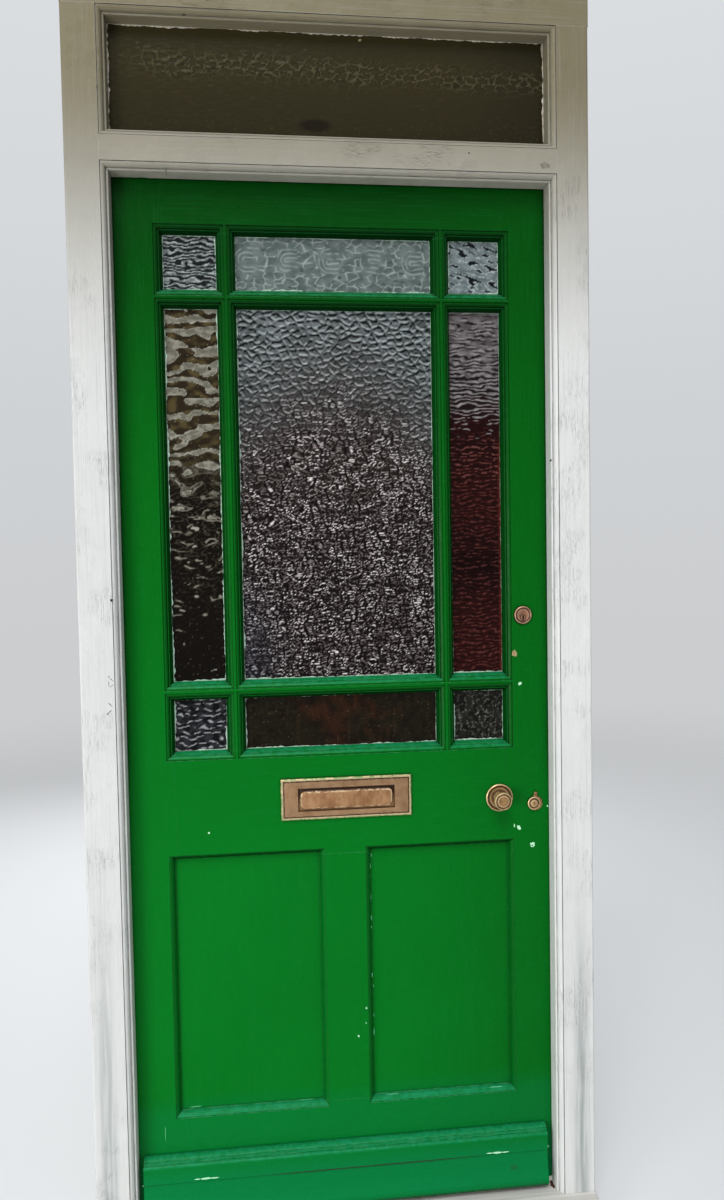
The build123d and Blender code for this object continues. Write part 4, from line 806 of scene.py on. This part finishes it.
def waves(x, z, seed):
    """Gradient noise, about -1 to 1."""
    ix, iz = np.floor(x).astype(np.int64), np.floor(z).astype(np.int64)
    total = np.zeros(x.shape)
    for dx in (0, 1):
        for dz in (0, 1):
            angle = lattice(ix + dx, iz + dz, seed) * 2 * np.pi
            away_x, away_z = x - ix - dx, z - iz - dz
            near_x, near_z = 1 - np.abs(away_x), 1 - np.abs(away_z)
            share = near_x**2 * (3 - 2 * near_x) * near_z**2 * (3 - 2 * near_z)
            total += share * (np.cos(angle) * away_x + np.sin(angle) * away_z)
    return total * 1.6


def warped(x, z, reach, size, seed):
    """Places pushed about by noise, by a reach across and up, in patches of a size across and up."""
    across = x + reach[0] * waves(x / size[0], z / size[1], seed)
    return across, z + reach[1] * waves(x / size[0], z / size[1], seed + 1)


def layered(x, z, seed, layers=3):
    return sum(waves(x * 2**i, z * 2**i, seed + i) / 2**i for i in range(layers))


def cells(x, z, seed):
    """How far each point is from the border of its cell, and that cell's own number."""
    ix, iz = np.floor(x).astype(np.int64), np.floor(z).astype(np.int64)
    first, second, own = np.full(x.shape, 9.0), np.full(x.shape, 9.0), np.zeros(x.shape)
    for dx in (-1, 0, 1):
        for dz in (-1, 0, 1):
            cx, cz = ix + dx, iz + dz
            away_x = x - cx - 0.1 - 0.8 * lattice(cx, cz, seed)
            away_z = z - cz - 0.1 - 0.8 * lattice(cx, cz, seed + 7)
            away = np.hypot(away_x, away_z)
            closer = away < first
            second = np.where(closer, first, np.minimum(second, away))
            own = np.where(closer, lattice(cx, cz, seed + 13), own)
            first = np.where(closer, away, first)
    return second - first, own


def step(value, low, high):
    t = np.clip((value - low) / (high - low), 0, 1)
    return t * t * (3 - 2 * t)


def blend(share, a, b):
    """Colour a where share is 0 and b where it is 1: each is one colour or one for every point."""
    share = share[..., None]
    return (1 - share) * np.asarray(a, float) + share * np.asarray(b, float)


def ridge(value, width):
    """1 where value crosses 0, falling away on both sides."""
    return np.exp(-(value / width) ** 2)


# The looks' colours are painted light: reflections of the sky and the street, and the room behind seen
# through the glass.
def ripples(x, z, u, v):
    """Top left: close level ripples, silver over black."""
    wave = z / 7.8 + waves(x / 30, z / 18, 21) + 0.4 * waves(x / 12, z / 8, 22)
    height = np.sin(2 * np.pi * wave)
    light = step(height + 0.5 * waves(x / 9, z / 5, 23), 0, 0.4)
    silver = blend(step(layered(x / 12, z / 6, 24), -0.6, 0.6), (92, 99, 98), (162, 168, 168))
    return height, blend(light, (24, 27, 28), silver)


def combs(x, z, u, v):
    """Top centre: a pale painted reflection with a net of thin lines and a comb of nested arches every 80 mm.
    """
    warp_x, warp_z = warped(x, z, (4, 4), (14, 14), 31)
    border, _ = cells(warp_x / 19, warp_z / 13, 33)
    net = ridge(border, 0.13)
    across = (x - 97 + 40) % 80 - 40
    up = z - 58 + 2.5 * waves(x / 30, z / 30, 34)
    nest = np.where(across < 0, np.hypot(np.minimum(across, 0), up * 0.85), np.abs(up * 0.85))
    inside = step(nest, 24, 19) * step(across, 23, 18) * step(across, -25, -20)
    comb = ridge((nest + 0.5 + waves(x / 9, z / 9, 38)) % 7.4 - 3.7, 1.3) * inside
    line = np.maximum(net * (1 - inside), comb * 0.8)
    smear = layered(x / 26, z / 18, 35)
    colour = blend(step(smear, -0.8, 0.8), (80, 92, 89), (104, 115, 112))
    colour = blend(line * step(waves(x / 15, z / 15, 36), -0.5, 0.1), colour, (148, 158, 155))
    dark = step(waves(x / 12, z / 5, 37), 0.45, 0.7) * (1 - 0.6 * inside)
    return line, blend(dark * 0.7, colour, (60, 69, 66))


def dashes(x, z, u, v):
    """Top right: smooth blue-grey with sparse slanting dark dashes."""
    slant = z + 0.32 * x
    field = waves(x / 19, slant / 6.8, 45) + 0.2 * waves(x / 6, slant / 4, 42)
    dark = step(field, 0.24, 0.36)
    base = blend(step(layered(x / 18, z / 12, 43), -0.7, 0.7), (92, 103, 105), (122, 132, 134))
    gleam = ridge(field - 0.15, 0.06) * 0.9
    return -dark + 0.3 * field, blend(gleam, blend(dark, base, (16, 20, 21)), (176, 184, 184))


def lenses(x, z, u, v):
    """Middle left: large lying lens shapes, cream over brown, nearly black lower down."""
    bend = 0.75 * waves(x / 60, z / 52, 51) + 0.3 * waves(x / 28, z / 20, 52)
    height = 0.75 * np.sin(2 * np.pi * (z / 31 + bend)) + 0.9 * waves(x / 32, z / 13, 53)
    crisp = height + 0.1 * waves(x / 7, z / 5, 54)
    heights = (-0.05, 0.14, 0.6, 0.95, 1.15, 1.3, 1.4, 1.5)
    level = np.interp(v, (0, 0.25, 0.42, 0.52, 0.66, 0.8, 0.9, 1), heights)
    low = step(v, 0.3, 0.55)
    shown = np.interp(v, (0.3, 0.55, 0.75, 0.9, 1), (-0.6, -0.1, 0.25, 0.6, 0.9))
    patches = step(waves(x / 22, z / 11, 60), shown - 0.12, shown + 0.12)
    stroke = step(np.abs(crisp - 0.4), 0.3, 0.2) * patches
    light = np.maximum(step(crisp, level - 0.06, level + 0.06), stroke * low)
    cream = blend(step(layered(x / 14, z / 9, 55), -0.5, 0.6), (98, 96, 84), (134, 131, 118))
    cream = blend(ridge(crisp - level - 0.1, 0.08) * 0.6, cream, (172, 168, 156))
    brown = blend(step(waves(x / 20, z / 12, 56), -0.2, 0.5), (40, 32, 20), (76, 66, 40))
    dark = blend(low, brown, (13, 9, 5))
    rim = ridge(crisp - level + 0.1, 0.06) * (0.7 - 0.2 * low)
    streak = ridge(waves(x / 17, z / 9, 58), 0.07) * low * step(v, 1, 0.5) * 0.7
    colour = blend(rim, blend(light, dark, cream), (12, 8, 4))
    colour = blend(streak * (1 - light), colour, (96, 88, 74))
    spark = step(waves(x / 4.4, z / 4, 57), 0.66, 0.76) * (0.7 - 0.3 * low) * (1 - light)
    pit = step(waves(x / 4.6, z / 4.2, 59), 0.72, 0.8) * light * (1 - low)
    return height, blend(pit, blend(spark, colour, (132, 122, 98)), (18, 14, 8))


def pebbles(x, z, u, v):
    """Middle centre: pebbles in a grey sky, closing up to lit rims over black below."""
    size = np.interp(v, (0, 0.3, 0.55, 1), (1.15, 1.1, 1, 0.95))
    warp_x = (x - 186) / size + 4 * waves(x / 19, z / 19, 61)
    warp_z = (z - 350) / size + 3.4 * waves(x / 17, z / 17, 62)
    border, own = cells((warp_x + 0.4 * warp_z) / 16, (warp_z - 0.12 * warp_x) / 11, 63)
    slope_z, slope_x = np.gradient(border)
    level = step(slope_z**2 / (slope_x**2 + slope_z**2 + 1e-6), 0.05, 0.5)
    rim = ridge(border - 0.3 - 0.14 * waves(x / 7, z / 7, 67), 0.09) * (0.08 + 0.92 * level)
    groove = step(border, 0.17, 0.04)
    grain = waves(warp_x / 5.6, warp_z / 4.2, 64)
    height = 0.8 * step(border, 0, 0.5) + 0.38 * grain
    rise = np.gradient(height, axis=0)
    rise = rise / rise.std()
    edge = 0.19 + 0.14 * (2 * u - 1) ** 2 + 0.04 * layered(x / 40, z / 30, 65)
    low = step(v, edge - 0.2, edge + 0.22)
    sky = blend(step(layered(x / 45, z / 35, 66), -0.6, 0.6), (76, 82, 82), (102, 108, 109))
    sky = blend(step(rise, 0.3, 1.5) * 0.75, sky, (176, 183, 184))
    sky = blend(step(-rise, 0.15, 1.1), sky, (12, 14, 14))
    lit = blend(step(own, 0.1, 0.9), (124, 114, 112), (244, 235, 233))
    street = blend(step(v, 0.2, 0.8), (44, 36, 34), (18, 11, 11))
    street = blend(step(grain, 0.05, 0.5) * 0.6, street, (8, 4, 4))
    street = blend(groove, street, (10, 6, 6))
    street = blend(rim, street, lit)
    blue = step(v, 0.62, 0.95) * step(u, 0.3, 0)
    return height, blend(low, sky, blend(blue * 0.4, street, (40, 46, 58)))


def maroon(x, z, u, v):
    """Middle right: mauve with level wavy lines, thickening to maroon with fine ripples."""
    bend = 6 * waves(x / 36, z / 20, 71) + 2.5 * waves(x / 14, z / 9, 77)
    v = v + 0.045 * waves(x / 26, z / 16, 78) + 0.02 * waves(x / 10, z / 6, 79)
    wave = np.sin(2 * np.pi * (z + bend) / 8) + 0.5 * waves(x / 12, z / 7, 72)
    thick = np.interp(v, (0, 0.1, 0.2, 0.27, 0.34), (0.72, 0.5, 0.2, -0.35, -1.2))
    gone = np.interp(v, (0, 0.12, 0.25), (0, -0.2, -0.9))
    shown = step(waves(x / 22, z / 8, 76), gone - 0.15, gone + 0.15)
    dark = step(wave, thick - 0.2, thick + 0.12) * shown
    mauve = blend(step(layered(x / 22, z / 10, 74), -0.5, 0.5), (78, 72, 73), (112, 106, 107))
    mauve = blend(step(-wave, 0.5, 1.1) * shown * 0.7, mauve, (156, 150, 150))
    mauve = blend(dark, mauve, blend(step(v, 0.2, 0.3), (22, 18, 18), (30, 5, 5)))
    wide = np.interp(v, (0.3, 0.42, 0.56, 0.7, 0.82, 1), (0, 0.6, 0.65, 0, 0.6, 0.75))
    red = blend(wide, (18, 0, 0), (52, 15, 12))
    crest = step(wave + 0.5 * waves(x / 6, z / 4, 75), 0.6, 1.2)
    lift = np.interp(v, (0.3, 0.42, 0.5, 1), (1, 0.9, 0.6, 0.6))
    red = blend(crest * lift, red, (112, 66, 62))
    red = blend(step(-wave, 0.3, 1) * 0.6, red, (12, 1, 1))
    side = step(u, 0.93, 1) * step(v, 0.3, 0.4)
    return wave, blend(side * 0.5, blend(step(v, 0.3, 0.38), mauve, red), (130, 46, 28))


def scallops(x, z, u, v):
    """Bottom left: dark glass with pale curved ripples."""
    bend = 7 * waves(x / 20, z / 16, 81) + 4 * np.abs(waves(x / 11, z / 12, 82))
    field = np.sin(2 * np.pi * (z + bend) / 11)
    crest = step(field + 0.35 * waves(x / 8, z / 5, 85), 0.66, 0.96)
    crest = crest * step(waves(x / 14, z / 7, 83), -0.45, -0.05)
    base = blend(step(layered(x / 14, z / 9, 84), -0.5, 0.5), (10, 11, 13), (40, 41, 44))
    return field, blend(crest * 0.95, base, (156, 157, 160))


def mottles(x, z, u, v):
    """Bottom centre: nearly smooth, dark brown and olive, with faint upright streaks."""
    hue = layered(x / 60, z / 45, 91)
    left = step(u + 0.2 * hue, 0.25, 0.45) * step(u + 0.2 * hue, 0.75, 0.5)
    base = blend(left, (24, 21, 12), (44, 24, 13))
    base = blend(step(layered(x / 22, z / 26, 92), -0.3, 0.7) * 0.6, base, (15, 10, 5))
    upright = step(waves(x / 7, z / 60, 95), 0.3, 0.7) * 0.3
    base = blend(upright, base, (52, 36, 22))
    streak = ridge(waves(x / 20, z / 9, 93), 0.05) * 0.3
    base = blend(streak, base, (74, 60, 40))
    spot = step(waves(x / 4, z / 4, 94), 0.74, 0.8) * 0.6
    return hue, blend(spot, base, (104, 90, 68))


def crackle(x, z, u, v):
    """Bottom right: dark, with a fine pale crackle."""
    warp_x, warp_z = warped(x, z, (3, 3), (8, 8), 101)
    border, own = cells(warp_x / 12, warp_z / 11, 103)
    line = ridge(border, 0.1) * step(waves(x / 9, z / 9, 104), -0.3, 0.3)
    base = blend(own, (16, 15, 12), (34, 33, 28))
    spark = step(waves(x / 3.6, z / 3.2, 105), 0.62, 0.75) * 0.5
    return line, blend(spark, blend(line * 0.8, base, (112, 114, 106)), (178, 184, 176))


def fanlight(x, z, u, v):
    """Over the door: olive, with a worm-like band of ripples and dusty speckles."""
    drift = 0.05 * waves(x / 90, z / 60, 111)
    warp_x, warp_z = warped(x, z, (5, 3), (12, 8), 112)
    border, _ = cells(warp_x / 22, warp_z / 12, 114)
    band = np.clip(1.5 * ridge(v + drift - 0.31 - 0.06 * u, 0.1), 0, 1) * step(u, 0, 0.12)
    worm = ridge(border, 0.14) * band
    base = blend(step(v, 0.05, 0.9), (52, 47, 27), (44, 39, 22))
    base = blend(step(u, 0.75, 1) * 0.5, base, (32, 28, 16))
    fine = waves(x / 16, z / 3, 115)
    base = blend(step(fine, 0.2, 0.9) * 0.3, base, (64, 58, 36))
    base = blend(worm * 0.65, base, (92, 86, 62))
    base = blend(ridge(border - 0.2, 0.07) * band * 0.7, base, (26, 22, 12))
    dust = step(waves(x / 4.2, z / 3.6, 116), 0.55, 0.75) * step(v, 0.62, 0.98) * 0.35
    base = blend(dust, base, (100, 94, 72))
    oval = step(np.hypot((u - 0.461) / 0.037, (v - 0.84) / 0.06), 1.25, 0.6)
    return 0.6 * worm + 0.3 * fine, blend(oval * 0.75, base, (24, 19, 12))


LOOKS = {
    "top_left": ripples, "top_centre": combs, "top_right": dashes,
    "middle_left": lenses, "middle_centre": pebbles, "middle_right": maroon,
    "bottom_left": scallops, "bottom_centre": mottles, "bottom_right": crackle,
}


def make_background():
    """A pale surround: cameras, gloss and glass see it at full strength, and it lights the door less."""
    world = bpy.data.worlds.new("studio")
    bpy.context.scene.world = world
    world.use_nodes = True
    nodes = Nodes(world.node_tree)
    background = nodes.tree.nodes["Background"]
    way = nodes.node("ShaderNodeTexCoord").outputs["Generated"]
    level = nodes.node("ShaderNodeSeparateXYZ", {0: way}).outputs["Z"]
    share = nodes.node("ShaderNodeMapRange", {"Value": level, "From Min": -1.0}).outputs[0]
    tones = nodes.node("ShaderNodeValToRGB", {0: share})
    while len(tones.color_ramp.elements) < len(SKY):
        tones.color_ramp.elements.new(0.5)
    for element, (position, colour) in zip(tones.color_ramp.elements, SKY):
        element.position = position
        element.color = (*colour, 1.0)
    nodes.feed(background.inputs["Color"], tones.outputs[0])
    path = nodes.node("ShaderNodeLightPath").outputs
    seen = path["Is Camera Ray"]
    for kind in ("Is Glossy Ray", "Is Transmission Ray"):
        seen = nodes.math("MAXIMUM", seen, path[kind])
    strength = nodes.node("ShaderNodeMapRange", {"Value": seen, "To Min": DIFFUSE_SKY}).outputs[0]
    nodes.feed(background.inputs["Strength"], strength)


def make_floor():
    """A pale floor that fades into the surround further out."""
    mesh = bpy.data.meshes.new("floor")
    corners = [(x * FLOOR_REACH, y * FLOOR_REACH, 0) for x, y in ((-1, -1), (1, -1), (1, 1), (-1, 1))]
    mesh.from_pydata(corners, [], [(0, 1, 2, 3)])
    floor = add_object("floor", mesh)
    s = Shader("floor")
    s.colour = (0.72, 0.73, 0.74)
    away = s.node("ShaderNodeVectorMath", {0: s.place}, operation="LENGTH").outputs["Value"]
    clear = s.node("ShaderNodeBsdfTransparent").outputs[0]
    fade = s.node("ShaderNodeMixShader", {0: s.ramp(away, *FLOOR_FADE), 1: s.surface.outputs[0], 2: clear})
    s.feed(s.tree.nodes["Material Output"].inputs["Surface"], fade.outputs[0])
    mesh.materials.append(s.finished(Roughness=0.7))


def make_lamps():
    for name, place, aim, size, watts in LAMPS:
        data = bpy.data.lights.new(name, "AREA")
        data.energy, data.size = watts, size
        lamp = add_object(name, data)
        lamp.location = place
        lamp.rotation_euler = (Vector(aim) - Vector(place)).to_track_quat("-Z", "Y").to_euler()
        lamp.visible_camera = False


def dress_wood():
    green_z, green_x = green_paint("green_upright", "z"), green_paint("green_level", "x")
    white_z, white_x = white_paint("white_upright", "z"), white_paint("white_level", "x")
    paint("hinge_stile lock_stile muntin left_panel right_panel left_upright_bar right_upright_bar", green_z)
    paint("top_rail lock_rail bottom_rail upper_cross_bar lower_cross_bar glazing_beads", green_x)
    paint("weatherboard kick_board", green_x)
    paint("left_jamb right_jamb left_door_stop right_door_stop", white_z)
    paint("frame_head transom_rail head_door_stop fanlight_stops fanlight_beads", white_x)
    paint("threshold_sill", worn_sill("worn_sill_paint"))


def dress_glass():
    glass = old_glass("obscured_glass")
    mint = flake("crept_green", (196, 216, 202), (130, 172, 146), 0.5)
    cream = flake("crept_white", (206, 200, 186), (140, 128, 108), 0.5)
    for number, (place, look) in enumerate(LOOKS.items()):
        grid_step = WIDE_GRID_STEP if place == "middle_centre" else GRID_STEP
        make_pane("pane_" + place, look, PANE_LAP, grid_step, glass)
        reaches = PANE_EDGES.get(place, PANE_EDGES["most"])
        ragged_edge("pane_" + place, PANE_LAP, reaches, mint, 200 + 3 * number)
    make_pane("fanlight_glass", fanlight, FANLIGHT_LAP, FANLIGHT_GRID_STEP, glass)
    ragged_edge("fanlight_glass", FANLIGHT_LAP, PANE_EDGES["fanlight"], cream, 240)


def turned_brass():
    """The brass of the rose, the knob, the keyhole cover and the cylinder, each with its turned rings."""
    knob_axis = middle_of("knob_rose")
    low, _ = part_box("keyhole_cover")
    cover_axis = (low.x + COVER_RADIUS, low.z + COVER_RADIUS)
    # The rose's dark rings are the knob's painted shadow round its neck; the pale rings are worn rims with
    # painted highlights.
    rose = old_brass("rose_brass", BRASS, knob_axis, ((26.4, 1.6, 0.8), (18.6, 1.6, 0.5)),
                     ((22.4, 3.0, 0.85), (13.5, 3.0, 0.8)))
    knob = old_brass("knob_brass", BRASS, knob_axis, ((16.4, 1.5, 0.8), (10.4, 1.6, 0.5)),
                     ((13.4, 2.2, 0.85), (7.6, 1.6, 0.4)))
    cover = old_brass("cover_brass", BRASS, cover_axis, ((12.2, 1.4, 0.8), (5.4, 1.8, 0.6)),
                      ((8.8, 2.0, 0.85),))
    copper = old_brass("cylinder_brass", COPPER, middle_of("cylinder_body"),
                       ((16.6, 1.3, 0.6), (10.4, 1.4, 0.5)), ((13.4, 2.4, 0.9),))
    return rose, knob, cover, copper


def dress_metal():
    rose, knob, cover, copper = turned_brass()
    bolt = old_brass("bolt_brass", BOLT_BRASS, metal=0.9)
    steel = dull_metal("hinge_steel", (150, 148, 144), (104, 92, 80))
    case = dull_metal("case_paint", (34, 34, 36), (22, 22, 24), 0.0)
    spring = flake("spring_brown", (66, 48, 34), (42, 30, 22), 0.6)
    for slot, material, width, nodes in (
        ("aged_brass", plate_brass("plate_brass"), FINE_ARRIS, "letter_plate"),
        ("aged_brass", flap_brass("flap_brass"), FINE_ARRIS, "letter_flap"),
        ("aged_brass", rose, FINE_ARRIS, "knob_rose"),
        ("aged_brass", knob, BROAD_ARRIS, "outer_knob inner_knob"),
        ("aged_brass", cover, FINE_ARRIS, "keyhole_plate keyhole_cover"),
        ("aged_brass", copper, FINE_ARRIS, "cylinder_body"),
        ("aged_brass", plug_brass("plug_metal"), FINE_ARRIS, "cylinder_plug"),
        ("aged_brass", knob, FINE_ARRIS, "night_latch_knob"),
        ("bolt_brass", bolt, FINE_ARRIS, "lock_latch_bolt lock_dead_bolt night_latch_bolt"),
        ("lock_case_paint", case, BROAD_ARRIS, "rim_lock_case night_latch_case"),
        ("lock_case_paint", case, FINE_ARRIS, "rim_lock_keep night_latch_keep"),
    ):
        for node in nodes.split():
            softened(node, material, width)
    close_flap_corner(spring)
    paint("top_hinge_frame_leaf top_hinge_door_leaf bottom_hinge_frame_leaf bottom_hinge_door_leaf", steel)
    paint("hinge_pins frame_screws leaf_fixings", steel)
    paint("flap_spring", spring)


def close_flap_corner(material):
    """The thin lip of the flap that hides its spring's notch from outside."""
    spring_low, spring_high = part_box("flap_spring")
    flap_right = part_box("letter_flap")[1].x
    sides = (spring_low.x - LIP_LAP, flap_right), (LIP_PLACE - LIP_THICK, LIP_PLACE)
    heights = spring_low.z - 3 * LIP_LAP, spring_high.z
    corners = [(x, y, z) for x in sides[0] for y in sides[1] for z in heights]
    faces = ((0, 1, 3, 2), (4, 6, 7, 5), (0, 4, 5, 1), (2, 3, 7, 6), (0, 2, 6, 4), (1, 5, 7, 3))
    mesh = bpy.data.meshes.new("letter_flap_lip")
    mesh.from_pydata(corners, [], faces)
    new_piece("letter_flap_lip", mesh, material, "letter_flap")


def main():
    bpy.context.scene.view_settings.view_transform = "Standard"
    make_camera()
    dress_wood()
    add_marks()
    dress_glass()
    dress_metal()
    make_background()
    make_floor()
    make_lamps()


main()
